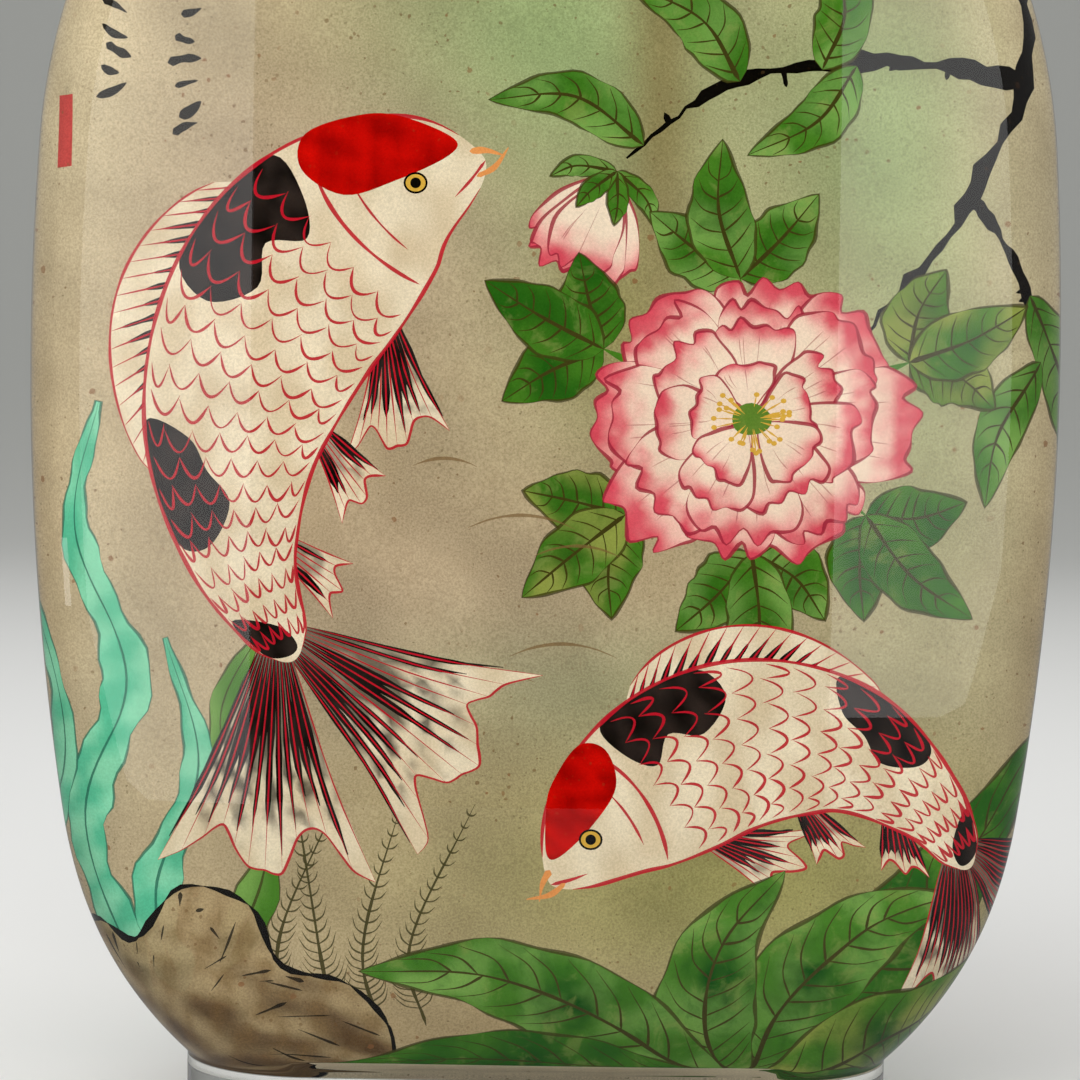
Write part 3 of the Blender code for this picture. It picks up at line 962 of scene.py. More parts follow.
def peony(picture, centre, radius, squash, seed):
    # an open flower: ruffled petals in rings, the outer ring first, round yellow stamens
    rng = np.random.default_rng(seed)
    centre = np.array(centre, float)
    rings = ((8, 1.0, 0.66), (8, 0.82, 0.58), (7, 0.62, 0.48), (5, 0.42, 0.38))
    for level, (count, reach, width) in enumerate(rings):
        start = rng.uniform(0, fullTurn)
        turns = start + np.arange(count) * 2 * math.pi / count + rng.uniform(-0.16, 0.16, count)
        for k in np.argsort(-np.sin(turns)):
            out = heading(turns[k]) * [1, squash]
            size = radius * reach * rng.uniform(0.88, 1.08)
            wide = radius * width * rng.uniform(0.88, 1.12)
            own = seed * 100 + level * 20 + int(k)
            petal(picture, centre + out * radius * 0.08, centre + out * size, wide, own, 0.40)
    heart = oval(centre, (radius * 0.12, radius * 0.1), 0, 20, 0.04, seed)
    picture.shape(heart, paints["heart"], 1.0, 0.4, 0.3)
    for turn in rng.uniform(0, fullTurn, 26):
        out = heading(turn) * [1, squash] * radius
        start, end = centre + out * rng.uniform(0.05, 0.1), centre + out * rng.uniform(0.16, 0.24)
        picture.stroke([start, end], 0.09, paints["stamen"], (0.1, 0.3), 2)
        picture.shape(oval(end, (0.14, 0.12), 0, 8), paints["stamen"], 1.0, 0, 0.2)


def bud(picture, centre, size, turn, seed):
    # a closed flower seen from the side: petals that overlap, in a cup of green blades
    centre = np.array(centre, float)
    angle = math.radians(turn)
    foot = centre - heading(angle) * size * 0.4
    for k, (lean, reach, width) in enumerate((
        (0.62, 0.92, 0.56), (-0.60, 0.94, 0.56), (0.28, 1.06, 0.60), (-0.26, 1.0, 0.62), (0.03, 0.84, 0.62),
    )):
        end = centre + heading(angle + lean) * size * 0.6 * reach
        petal(picture, foot, end, size * width, seed * 10 + k, 0.5)
    for lean, reach in ((1.05, 0.62), (-1.05, 0.62), (0.4, 0.5), (-0.4, 0.5)):
        start = foot - heading(angle) * size * 0.06
        middle = start + heading(angle + lean * 1.2) * size * reach * 0.6
        end = start + heading(angle + lean) * size * reach
        longLeaf(picture, [start, middle, end], size * 0.2, seed + 7, veins=3)


def longLeaf(picture, points, width, seed, low="leaf", high="leafLight", veins=9, blooms=()):
    # a pointed leaf along its midrib, one half darker than the other, with bent side veins, and
    # blooms where the wash pooled: (centre, reach, strength)
    rng = np.random.default_rng(seed)
    line = curveThrough(points, 12)
    t = np.linspace(0, 1, len(line))
    across = sidewaysOf(line)
    half = width / 2 * np.maximum(np.sin(math.pi * t**0.74), 0) ** 0.85

    def at(t0, s):
        middle = np.array([np.interp(t0, t, line[:, k]) for k in (0, 1)])
        out = np.array([np.interp(t0, t, across[:, k]) for k in (0, 1)])
        return middle + out * np.interp(t0, t, half) * s

    def colourOf(dark):
        def colour(p, q):
            laid = wash(paints[low], paints[high], 3.6, seed, 1.3)(p, q)
            laid = mixed(laid, paints["leafDeep"], dark)
            for middle, reach, strength in blooms:
                edge = 0.6 + 0.8 * cloud(p, q, 1.4, seed + 7)
                share = strength * spot(p, q, middle, (reach, reach)) * edge
                laid = mixed(laid, paints["bloom"], np.clip(share, 0, 1))
            return laid

        return colour

    edges = []
    for side, dark in ((1, 0.0), (-1, 0.3)):
        ripple = 1 + waves(t * fullTurn, (2, 3, 5), 0.05, rng)
        edge = line + across * (side * half * ripple)[:, None]
        picture.shape(np.vstack([edge, line[-2:0:-1]]), colourOf(dark), 1.0, 1.0, 0.3)
        edges.append(edge)
    fine = 0.06 + 0.008 * width
    picture.stroke(points, fine * 2.4, paints["vein"], (0.02, 0.9), 10)
    for k in range(veins):
        for side in (1, -1):
            t0 = 0.08 + 0.76 * k / veins + rng.uniform(-0.015, 0.015)
            bend = [at(t0, 0), at(t0 + 0.055, side * 0.5), at(min(t0 + 0.14, 0.99), side * 0.9)]
            picture.stroke(bend, fine * rng.uniform(0.8, 1.3), paints["vein"], (0.05, 0.85), 5)
    rimLine(picture, np.vstack([edges[0], edges[1][-2:0:-1]]), fine * 1.3, paints["vein"], 0.85)


# A carp's form. A point on it is (t, s): t runs from the nose to the tail's root, and s from the
# spine, 0, to the back, 1, and the belly, -1.
carp = {
    "widestAt": 0.36,
    "rootWidth": 0.22,  # of the tail's root, as a share of the greatest width
    "scaleLength": 1.15,  # mm
    "scaleBulge": 0.72,  # as a share of that
    "scalesAcross": 6,
    "scalesFrom": 0.275,  # as shares of the length
    "scalesOver": 0.70,
    "patches": (
        (
            (0.255, 0.98), (0.33, 0.99), (0.42, 0.99), (0.45, 0.6),
            (0.40, 0.25), (0.345, 0.42), (0.30, 0.18), (0.262, 0.5),
        ),
        ((0.62, 0.98), (0.70, 0.98), (0.78, 0.97), (0.79, 0.5), (0.73, 0.05), (0.68, 0.3), (0.635, 0.5)),
        ((0.90, 0.9), (0.97, 0.97), (0.99, 0.2), (0.98, -0.6), (0.94, -0.1)),
    ),
    "cap": (
        (0.04, 0.80), (0.1, 0.99), (0.14, 1.06), (0.206, 1.03),
        (0.24, 0.72), (0.216, 0.28), (0.14, 0.12), (0.054, 0.32),
    ),
    # fins: the root's two ends, the direction's place and turn, spread, reach as a share of the
    # width, rays, share of them in ink
    "lobes": (
        ((0.96, -0.9), (0.99, 0.1), 0.98, -0.50, 0.80, 1.0, 13, 0.8),
        ((0.99, -0.1), (0.96, 0.9), 0.98, 0.52, 0.80, 1.0, 13, 0.8),
    ),
    "fins": (
        ((0.28, -0.8), (0.33, -0.85), 0.32, -0.85, 0.70, 0.60, 11, 0.55),
        ((0.57, -0.85), (0.62, -0.9), 0.62, -0.75, 0.55, 0.38, 8, 0.6),
        ((0.80, -0.85), (0.86, -0.85), 0.84, -0.6, 0.45, 0.30, 7, 0.6),
    ),
}


class Fish:
    # a carp on a spine from its nose to its tail's root; back is 1 where its back is to the
    # spine's left and -1 where it is to the right
    def __init__(self, picture, spine, width, back, seed):
        self.picture, self.width, self.back, self.seed = picture, width, back, seed
        self.rng = np.random.default_rng(seed)
        self.line = curveThrough(spine, 16)
        self.across = sidewaysOf(self.line) * back
        steps = np.linalg.norm(np.diff(self.line, axis=0), axis=1)
        along = np.concatenate([[0], np.cumsum(steps)])
        self.length = along[-1]
        self.along = along / self.length
        self.ink = wash(paints["ink"], paints["inkThin"], 1.6, seed, 0.7)
        self.pale = wash(paints["white"], paints["shade"], 3.0, seed)

    def profile(self, t):
        # half the width: a blunt rise to the widest place, and a fall to the tail's root
        widest, root = carp["widestAt"], carp["rootWidth"]
        rise = np.sin(math.pi / 2 * np.clip(t / widest, 0, 1)) ** 0.62
        fall = root + (1 - root) * np.cos(math.pi / 2 * np.clip((t - widest) / (1 - widest), 0, 1)) ** 1.25
        return np.where(t < widest, rise, fall) * np.clip((1 - t) / 0.04, 0, 1) ** 0.5 * self.width / 2

    def at(self, t, s):
        # the point (p, q) for a place on the body, or a row of points
        t, s = np.broadcast_arrays(np.asarray(t, float), np.asarray(s, float))
        middle = np.stack([np.interp(t, self.along, self.line[:, k]) for k in (0, 1)], -1)
        out = np.stack([np.interp(t, self.along, self.across[:, k]) for k in (0, 1)], -1)
        return middle + out * (self.profile(t) * s)[..., None]

    def forward(self, t, turn=0.0):
        # the way towards the tail, turned by an angle
        step = self.at(min(t + 0.02, 1.0), 0) - self.at(t - 0.02, 0)
        return turnedBy(step[None] / np.linalg.norm(step), turn * self.back)[0]

    def red(self, points, size=0.12, taper=(0.1, 0.3), steps=4):
        # a red brush line
        self.picture.stroke(points, size, paints["redLine"], taper, steps, 0.96)

    def patch(self, places, paint, grain=0.35):
        # a patch of colour whose outline passes through places on the body
        ring = curveThrough([self.at(*place) for place in places], 6, True)
        self.picture.shape(ring, paint, 1.0, 0, grain)

    def fin(self, first, last, place, turn, spread, reach, rays, dark):
        # a fan of bent rays between the two ends of its root, in ink at the root and fading
        root, out, reach = (self.at(*first), self.at(*last)), self.forward(place, turn), self.width * reach
        rng = self.rng
        step = root[1] - root[0]
        share = np.linspace(0, 1, rays)
        opening = math.copysign(spread, out[0] * step[1] - out[1] * step[0])
        turns = math.atan2(out[1], out[0]) + (share - 0.5) * opening
        size = reach * (0.78 + 0.22 * np.cos(share * 2 * math.pi) ** 2) * rng.uniform(0.94, 1.05, rays)
        starts = root[0] + step * share[:, None]
        ends = starts + np.stack([np.cos(turns), np.sin(turns)], 1) * size[:, None]
        bent = starts + (ends - starts) * 0.5 + out * reach * 0.06
        middle = (root[0] + root[1]) / 2

        def colour(p, q):
            far = np.hypot(p - middle[0], q - middle[1]) / reach
            streaks = 0.5 * (cloud(p, q, 1.1, self.seed + rays) - 0.5)
            return mixed(self.pale(p, q), paints["ink"], dark * smooth((0.72 + streaks - far) / 0.35))

        edge = curveThrough(ends, 4)
        outline = np.vstack([root[0], bent[0], edge, bent[-1], root[1]])
        self.picture.shape(outline, colour, 1.0, 0, 0.4)
        for start, halfway, end in zip(starts, bent, ends):
            if rng.uniform() < dark:
                stop = start + (end - start) * rng.uniform(0.75, 0.95)
                ray = [start, halfway, stop]
                self.picture.stroke(ray, rng.uniform(0.22, 0.42), self.ink, (0.3, 0.6), 5, 1.0)
            self.red([start, halfway, end], 0.03 + 0.004 * self.width, (0.3, 0.5))
        self.red(edge[::2], 0.11)

    def backFin(self):
        # a low crest on the back with upright rays
        t = np.linspace(0.28, 0.64, 19)
        rise = np.sin(np.linspace(0.25, math.pi, 19)) ** 0.6
        crest = self.at(t + 0.05, 0.9) + (self.at(t + 0.05, 1.42) - self.at(t + 0.05, 0.9)) * rise[:, None]
        self.picture.shape(np.vstack([self.at(t, 0.8), crest[::-1]]), self.pale, 1.0, 0, 0.4)
        for foot, top, tall in zip(self.at(t, 0.86)[1:-1], crest[1:-1], rise[1:-1]):
            reach = foot + (top - foot) * self.rng.uniform(0.55, 0.85)
            self.picture.stroke([foot, (foot + reach) / 2, reach], 0.34 * tall, self.ink, (0.3, 0.6), 4, 1.0)
            self.red([foot, (foot + top) / 2, top], 0.075)
        self.red(crest)

    def body(self):
        # the outline, closer together at both ends, and the ink patches on the back
        t = 0.5 - 0.5 * np.cos(np.linspace(0, math.pi, 90))
        outline = np.vstack([self.at(t, 1.0), self.at(t, -1.0)[::-1][1:-1]])
        self.picture.shape(outline, self.pale, 1.0, 0.0, 0.5)
        for places in carp["patches"]:
            self.patch(places, self.ink)

    def scales(self):
        # rows of arcs across the body, every other row half a scale further over
        rng, cells = self.rng, carp["scalesAcross"]
        rows = int(self.length * carp["scalesOver"] / carp["scaleLength"])
        bulge = carp["scaleBulge"] * carp["scaleLength"] / self.length
        u = np.linspace(0, 1, 7)
        for row in range(rows):
            for cell in range(cells + row % 2):
                low = -0.93 + 1.86 * (cell - 0.5 * (row % 2)) / cells
                low, high = max(low, -0.95), min(low + 1.86 / cells, 0.95)
                if high - low > 0.12:
                    reach = carp["scalesFrom"] + carp["scalesOver"] * row / rows
                    reach += rng.uniform(-0.15, 0.15) * bulge
                    arc = self.at(reach + bulge * (1 - (2 * u - 1) ** 2), low + (high - low) * u)
                    self.red(arc, 0.115 * rng.uniform(0.75, 1.25), (0.2, 0.2), 2)
        for start, side in ((0.03, 1.0), (0.02, -1.0)):
            self.red(self.at(np.linspace(start, 0.99, 44), side), 0.17, (0.05, 0.1), 2)

    def head(self):
        # gill cover, cap, eye, mouth and two barbels
        s = np.linspace(-0.92, 0.9, 12)
        self.red(self.at(0.245 - 0.035 * (s / 0.9) ** 2, s), 0.17, (0.1, 0.2), 3)
        self.red(self.at(0.20 - 0.03 * (s[2:9] / 0.9) ** 2, s[2:9]), 0.11, (0.2, 0.4), 3)
        self.patch(carp["cap"], wash(paints["cap"], paints["capDeep"], 1.6, self.seed + 8, 0.9), 0.5)
        eye = self.at(0.115, -0.02)
        for radii, paint in (((0.56, 0.50), "ink"), ((0.46, 0.40), "stamen"), ((0.25, 0.25), "ink")):
            self.picture.shape(oval(eye, radii, 0, 20), paints[paint], 1.0, 0, 0.2)
        self.red([self.at(0.0, 0.05), self.at(0.03, -0.45), self.at(0.06, -0.55)], 0.15, (0.05, 0.5))
        for s, reach, turn in ((-0.5, 1.5, -0.9), (0.55, 1.1, 0.7)):
            root, ahead, down = self.at(0.02, s), -self.forward(0.03), -self.forward(0.03, turn)
            bent = root + ahead * reach * 0.5 + down * 0.25
            end = bent + ahead * reach * 0.2 + down * reach * 0.6
            self.picture.stroke([root, bent, end], 0.3, paints["orange"], (0.05, 0.8), 6)


def fish(picture, spine, width, back, seed, tail=1.05):
    # the tail and the fins lie behind the body; tail is the lobes' length as a share of the width
    drawn = Fish(picture, spine, width, back, seed)
    for *lobe, reach, rays, dark in carp["lobes"]:
        drawn.fin(*lobe, reach * tail, rays, dark)
    drawn.backFin()
    for fin in carp["fins"]:
        drawn.fin(*fin)
    drawn.body()
    drawn.scales()
    drawn.head()


def strokeColumns(picture, columns, seed):
    # columns of single brush dabs, which aren't letters
    rng = np.random.default_rng(seed)
    for p, q, count in columns:
        for _ in range(count):
            half = rng.uniform(0.35, 0.8) * heading(math.radians(rng.uniform(-28, 40)))
            middle = np.array([p + rng.uniform(-0.25, 0.25), q])
            lift = np.array([-half[1], half[0]]) * rng.uniform(-0.2, 0.2)
            dab = [middle - half, middle + lift, middle + half]
            picture.stroke(dab, rng.uniform(0.24, 0.46), paints["ink"], (0.12, 0.4), 4, 0.98)
            q -= rng.uniform(0.8, 1.3)


def branch(picture, points, width, seed):
    # a gnarled branch in ink, with a few short spurs and dabs along it
    rng = np.random.default_rng(seed)
    line = curveThrough(points, 12)
    line = line + sidewaysOf(line) * rng.normal(0, width * 0.09, (len(line), 1))
    picture.shape(strokeOutline(line, width, (0.02, 0.7), 1, 0.7), paints["ink"], 1.0, 0, 0.5)
    for k in rng.integers(4, len(line) - 4, 4):
        out = heading(rng.uniform(0, fullTurn)) * width * rng.uniform(0.6, 1.1)
        spur = [line[k], line[k] + out * 0.6, line[k] + out]
        picture.stroke(spur, width * 0.4, paints["ink"], (0.1, 0.6), 4, 1.0)


def rock(picture, outline, seed):
    # a boulder: a wash that darkens towards its foot, then broken ink lines and dabs
    rng = np.random.default_rng(seed)
    ring = curveThrough(outline, 6, True)

    def colour(p, q):
        share = smooth((q + 2) / 14 + 0.8 * (cloud(p, q, 3.0, seed) - 0.5))
        laid = mixed(paints["stoneDeep"], paints["tan"], share)
        return mixed(laid, paints["stone"], 0.6 * smooth(1.6 * cloud(p, q, 1.7, seed + 1) - 0.5))

    picture.shape(ring, colour, 0.97, 0.0, 0.9)
    count = len(ring)
    for start in range(0, count, 4):
        points = np.roll(ring, -start, axis=0)[: rng.integers(5, 8)]
        contour = strokeOutline(points, rng.uniform(0.22, 0.42), (0.4, 0.5), 1)
        picture.shape(contour, paints["ink"], 1.0, 0, 0.4)
    middle = ring.mean(axis=0)
    for k in range(0, count, 2):
        start = ring[k] + (middle - ring[k]) * rng.uniform(0.03, 0.45)
        end = start + (middle - start) * rng.uniform(0.1, 0.35) + rng.uniform(-0.8, 0.8, 2)
        crack = [start, (start + end) / 2, end]
        picture.stroke(crack, rng.uniform(0.08, 0.24), paints["ink"], (0.2, 0.8), 4, 0.9)


def ribbon(picture, points, width, seed, low, high, line):
    # a blade of water weed with a darker line along it
    picture.stroke(points, width, wash(paints[low], paints[high], 3.0, seed, 1.4), (0.08, 0.6), 12, 1.0)
    outline = strokeOutline(points, width, (0.08, 0.6), 12)
    rimLine(picture, outline, 0.09, paints[line], 0.8)
    picture.stroke(points, 0.12, paints[line], (0.1, 0.6), 12, 0.85)


def featherWeed(picture, points, reach, seed):
    # a fine stalk with pairs of short hairs
    rng = np.random.default_rng(seed)
    line = curveThrough(points, 12)
    across = sidewaysOf(line)
    picture.stroke(points, 0.17, paints["vein"], (0.05, 0.6), 9, 0.95)
    for k in range(3, len(line) - 1):
        ahead = line[min(k + 1, len(line) - 1)] - line[k]
        ahead = ahead / np.linalg.norm(ahead)
        size = reach * (1.15 - k / len(line)) * rng.uniform(0.8, 1.15)
        for side in (-1, 1):
            end = line[k] + (ahead * 0.75 + across[k] * side * 0.7) * size
            middle = line[k] + (ahead * 0.25 + across[k] * side * 0.45) * size
            picture.stroke([line[k], middle, end], 0.09, paints["vein"], (0.1, 0.8), 4, 0.9)


def ripples(picture, places):
    # short curved lines on the water: (p, q, length)
    for p, q, length in places:
        across = np.linspace(-0.5, 0.5, 7)
        points = np.stack([p + across * length, q - 1.1 * across**2 * length * 0.45], 1)
        picture.stroke(points, 0.15, paints["stone"], (0.4, 0.5), 2, 0.75)


turquoiseWeed = ("turquoise", "turquoiseLight", "turquoiseDeep")
greenWeed = ("leaf", "leafLight", "vein")
frontWater = {
    "weeds": (
        (turquoiseWeed, 2.3, [(-18.6, 7), (-21.6, 15), (-19.4, 22), (-21.9, 29), (-20.8, 35)]),
        (greenWeed, 1.8, [(-14.8, 8), (-12.8, 14), (-15.0, 20), (-12.8, 25)]),
        (turquoiseWeed, 2.0, [(-22.4, 6), (-24.4, 12), (-22.8, 19), (-24.6, 26)]),
        (turquoiseWeed, 1.9, [(-16.6, 7), (-18.0, 12), (-16.0, 18), (-17.6, 24)]),
    ),
    "feathers": (  # foot, end, length of the hairs
        (-9.5, -11.5, 1.7), (-7.4, -6.4, 1.5), (-11.4, -9.6, 1.3), (-5.2, -3.0, 1.4),
    ),
    "boulder": (
        (-28.0, 0.0), (-28.5, 8.4), (-25.5, 8.9), (-22.0, 10.8), (-19.0, 9.8), (-16.8, 12.2), (-13.6, 11.4),
        (-12.0, 8.4), (-8.8, 7.4), (-6.8, 4.2), (-8.0, 0.0), (-16.0, -2.0), (-24.0, -1.5),
    ),
}
backWater = {
    "weeds": (
        (greenWeed, 2.0, [(22.0, 5), (20.2, 13), (22.8, 21), (20.8, 29), (22.6, 38)]),
        (turquoiseWeed, 2.1, [(17.4, 5), (19.0, 11), (16.6, 17), (18.4, 24), (17.2, 30)]),
        (turquoiseWeed, 1.7, [(14.0, 5), (12.6, 10), (14.4, 15), (13.2, 19)]),
    ),
    "feathers": ((8.2, 9.6, 1.5), (6.0, 4.4, 1.6), (10.4, 12.2, 1.3)),
    "boulder": (
        (28.0, 0.0), (28.5, 9.2), (25.5, 8.9), (22.6, 7.6), (19.4, 8.0), (16.6, 5.6), (12.8, 5.9),
        (9.4, 3.6), (8.0, 0.0), (16.0, -2.0), (24.0, -1.5),
    ),
}


def waterSide(picture, plants, seed):
    # weed, feather weed and a boulder at the bottom of one side
    for k, (colours, width, points) in enumerate(plants["weeds"]):
        ribbon(picture, points, width, seed + k, *colours)
    for k, (foot, end, reach) in enumerate(plants["feathers"]):
        points = [(foot, 5.0), (foot + math.copysign(0.8, foot), 9.6), (end, 13.6 + reach * 2)]
        featherWeed(picture, points, reach, seed + 10 + k)
    rock(picture, plants["boulder"], seed + 20)


def flowerSpray(picture, centre, radius, seed):
    # a peony with leaves in threes round it
    rng = np.random.default_rng(seed)
    centre = np.array(centre, float)
    turns = ((158, 1.22), (98, 1.05), (24, 1.25), (-36, 1.12), (-92, 1.0), (-146, 1.18))
    for k, (turn, reach) in enumerate(turns):
        turn = math.radians(turn + rng.uniform(-5, 5))
        joint = centre + heading(turn) * radius * reach * 0.82
        low, high = (("leafDeep", "leaf"), ("leaf", "leafLight"), ("leaf", "leafOlive"))[k % 3]
        picture.stroke([centre, (centre + joint) / 2, joint], radius * 0.07, paints["leaf"], (0.1, 0.2), 6)
        for j, (lean, size) in enumerate(((-0.86, 0.66), (0.86, 0.66), (0.0, 0.86))):
            angle = turn + lean + rng.uniform(-0.1, 0.1)
            size = size * radius * rng.uniform(0.9, 1.08)
            side = heading(angle + math.pi / 2) * size * rng.uniform(-0.12, 0.12)
            middle = joint + heading(angle) * size * 0.5 + side
            points = [joint, middle, joint + heading(angle) * size]
            blooms = ((middle, 1.2, 0.45),)
            longLeaf(picture, points, radius * 0.40, seed + 10 * k + j, low, high, 6, blooms)
    peony(picture, centre, radius, 0.9, seed + 50)


def leafClump(picture, leaves, seed):
    # broad leaves from one foot: (points, width, low, high, bloom)
    for k, (points, width, low, high, bloom) in enumerate(leaves):
        longLeaf(picture, points, width, seed + k, low, high, 10, ((bloom, 1.8, 0.9),))


def frontPicture():
    picture = Painting(groundOf(frontWashes, 3))
    # a flowering branch from the upper right
    points = [(3.5, 79.2), (10.5, 71.5), (18.8, 62.0), (22.6, 53.0), (19.6, 45.0), (14.8, 38.5)]
    branch(picture, points, 1.3, 11)
    branch(picture, [(20.0, 60.2), (14.6, 63.0), (6.0, 62.6), (-2.0, 60.0)], 0.7, 10)
    branch(picture, [(22.4, 50.4), (15.6, 51.2), (8.6, 50.2), (3.6, 46.6)], 0.75, 12)
    branch(picture, [(19.6, 45.2), (22.0, 41.5), (23.6, 36.8)], 0.55, 13)
    for k, (points, width) in enumerate((
        ([(22.6, 40.5), (24.6, 37.0), (25.2, 32.8)], 2.6),
        ([(23.4, 37.4), (21.2, 34.2), (20.6, 30.6)], 2.4),
        ([(12.6, 50.8), (13.6, 53.6), (12.4, 56.8)], 2.6),
        ([(8.8, 50.2), (7.0, 53.0), (3.6, 54.6)], 2.8),
        ([(14.2, 51.0), (12.4, 48.4), (9.2, 46.8)], 2.4),
        ([(4.4, 47.2), (1.2, 49.4), (-2.8, 49.2)], 2.4),
        ([(6.2, 62.6), (2.4, 65.2), (-1.6, 65.0)], 2.6),
        ([(-1.8, 60.1), (-4.6, 58.2), (-8.4, 58.2)], 2.5),
        ([(13.0, 63.2), (12.0, 60.4), (9.0, 58.8)], 2.4),
    )):
        longLeaf(picture, points, width, 14 + k, veins=6)
    bud(picture, (2.2, 43.9), 5.0, 245, 21)
    flowerSpray(picture, (9.6, 34.6), 7.6, 30)
    # weed and a boulder at the lower left, with the larger fish before them
    waterSide(picture, frontWater, 60)
    places = ((-1.0, 30.0, 5.0), (1.6, 28.6, 4.0), (-4.6, 32.6, 3.0), (1.0, 24.0, 5.0), (-2.0, 22.6, 3.4))
    ripples(picture, places)
    spine = [(-2.9, 46.4), (-7.2, 44.8), (-12.0, 40.2), (-14.4, 34.0), (-14.0, 28.0), (-11.6, 23.0)]
    fish(picture, spine, 10.4, -1, 31)
    # the smaller fish, between the leaves at the lower right
    leaves = (
        ([(11.0, 0.0), (14.6, 6.5), (19.4, 13.0), (24.8, 20.5)], 5.6, "leafDeep", "leaf", (18.0, 11.0)),
        ([(10.0, 0.0), (11.4, 6.0), (15.2, 10.4), (19.6, 12.4)], 5.0, "leaf", "leafLight", (13.0, 8.0)),
    )
    leafClump(picture, leaves, 70)
    spine = [(0.6, 12.6), (3.8, 16.2), (8.8, 19.2), (14.0, 19.3), (18.0, 16.8), (20.4, 13.6)]
    fish(picture, spine, 8.2, 1, 32, 0.84)
    leaves = (
        ([(9.5, 0.5), (8.0, 5.0), (8.6, 9.6), (11.6, 13.4)], 4.8, "leaf", "leafLight", (8.6, 8.0)),
        ([(9.0, 0.0), (3.6, 5.2), (-2.2, 8.0), (-8.4, 8.2)], 5.2, "leaf", "leafLight", (1.5, 6.4)),
        ([(11.0, 0.0), (16.0, 4.2), (20.6, 6.6), (25.2, 11.0)], 5.4, "leaf", "leafOlive", (16.5, 4.6)),
        ([(8.4, -0.6), (2.6, 1.8), (-3.6, 2.6), (-10.0, 1.2)], 4.8, "leafDeep", "leaf", (0.0, 2.4)),
        ([(11.6, -0.6), (14.6, 0.4), (17.6, 1.4), (20.6, 4.2)], 4.2, "leafDeep", "leaf", (16.5, 1.0)),
    )
    leafClump(picture, leaves, 75)
    strokeColumns(picture, ((-16.8, 54.9, 8), (-20.2, 54.4, 6)), 71)
    # a plain red block beside them
    x, y = (-23.1, -22.2, -22.25, -23.15), (45.8, 45.9, 49.2, 49.1)
    picture.shape(np.stack([x, y], 1), paints["redLine"], 0.88, 0, 0.8)
    return picture


def backPicture():
    picture = Painting(groundOf(backWashes, 5))
    branch(picture, [(-3.0, 79.2), (-9.5, 71.0), (-14.6, 61.5), (-12.4, 53.6), (-8.0, 48.0)], 1.2, 81)
    branch(picture, [(-14.4, 60.4), (-9.6, 61.6), (-3.0, 59.2), (3.2, 54.6)], 0.7, 80)
    flowerSpray(picture, (-8.0, 46.0), 6.6, 82)
    for k, (points, width) in enumerate((
        ([(-3.0, 59.2), (0.6, 61.4), (4.8, 61.6)], 2.6),
        ([(3.0, 54.8), (6.4, 54.4), (9.4, 51.6)], 2.5),
        ([(-10.0, 61.4), (-8.4, 64.2), (-5.0, 65.8)], 2.6),
    )):
        longLeaf(picture, points, width, 88 + k, veins=6)
    waterSide(picture, backWater, 83)
    ripples(picture, ((4.0, 23.0, 5.0), (0.0, 21.0, 4.0), (8.0, 46.0, 4.0)))
    spine = [(15.5, 40.5), (10.4, 38.2), (5.0, 33.8), (1.2, 28.2), (-2.8, 23.6), (-7.4, 20.8)]
    fish(picture, spine, 9.6, -1, 86)
    leaves = (
        ([(-12.0, 0.0), (-17.0, 5.5), (-21.5, 9.5), (-25.5, 15.5)], 5.4, "leafDeep", "leaf", (-18.0, 7.0)),
        ([(-11.0, 0.0), (-11.6, 6.0), (-9.0, 11.0), (-4.5, 15.0)], 5.2, "leaf", "leafLight", (-10.5, 8.0)),
        ([(-11.0, 0.0), (-14.0, 2.6), (-17.4, 3.4), (-21.0, 6.6)], 4.4, "leaf", "leafOlive", (-15.0, 3.0)),
        ([(-9.0, 0.0), (-3.0, 3.6), (3.0, 4.2), (8.0, 2.0)], 4.8, "leaf", "leafLight", (-2.0, 3.6)),
    )
    leafClump(picture, leaves, 90)
    return picture


# What is finer than the painting's triangles comes from the nodes: drifts in the wash, blots in
# the leaves, the grain of paint on ground glass, and specks.
paintTexture = {
    "driftSize": 2.6,  # sizes in mm
    "driftRange": ((0.93, 0.92, 0.90), (1.05, 1.05, 1.05)),  # times the paint's own colour
    "blotSize": 1.5,
    "blots": ((24, 74, 14), 0.34),  # colour and cover
    "thinPlaces": ((146, 150, 84), 0.26),
    "grainSize": 0.10,
    "grainRange": ((0.80, 0.79, 0.76), (1.17, 1.17, 1.17)),
    "patchSize": 4.5,  # of the places with more specks
    "bendSize": 0.3,
    "speckBend": 0.22,  # how far the specks are bent out of round
    "specks": (
        # spacing, radius as a share of it, share of the cells with a speck, cover, colour
        (1.10, 0.105, 0.60, 0.72, (124, 82, 48)),
        (0.60, 0.100, 0.90, 0.66, (104, 76, 44)),
        (0.32, 0.115, 0.85, 0.50, (86, 74, 44)),
    ),
}


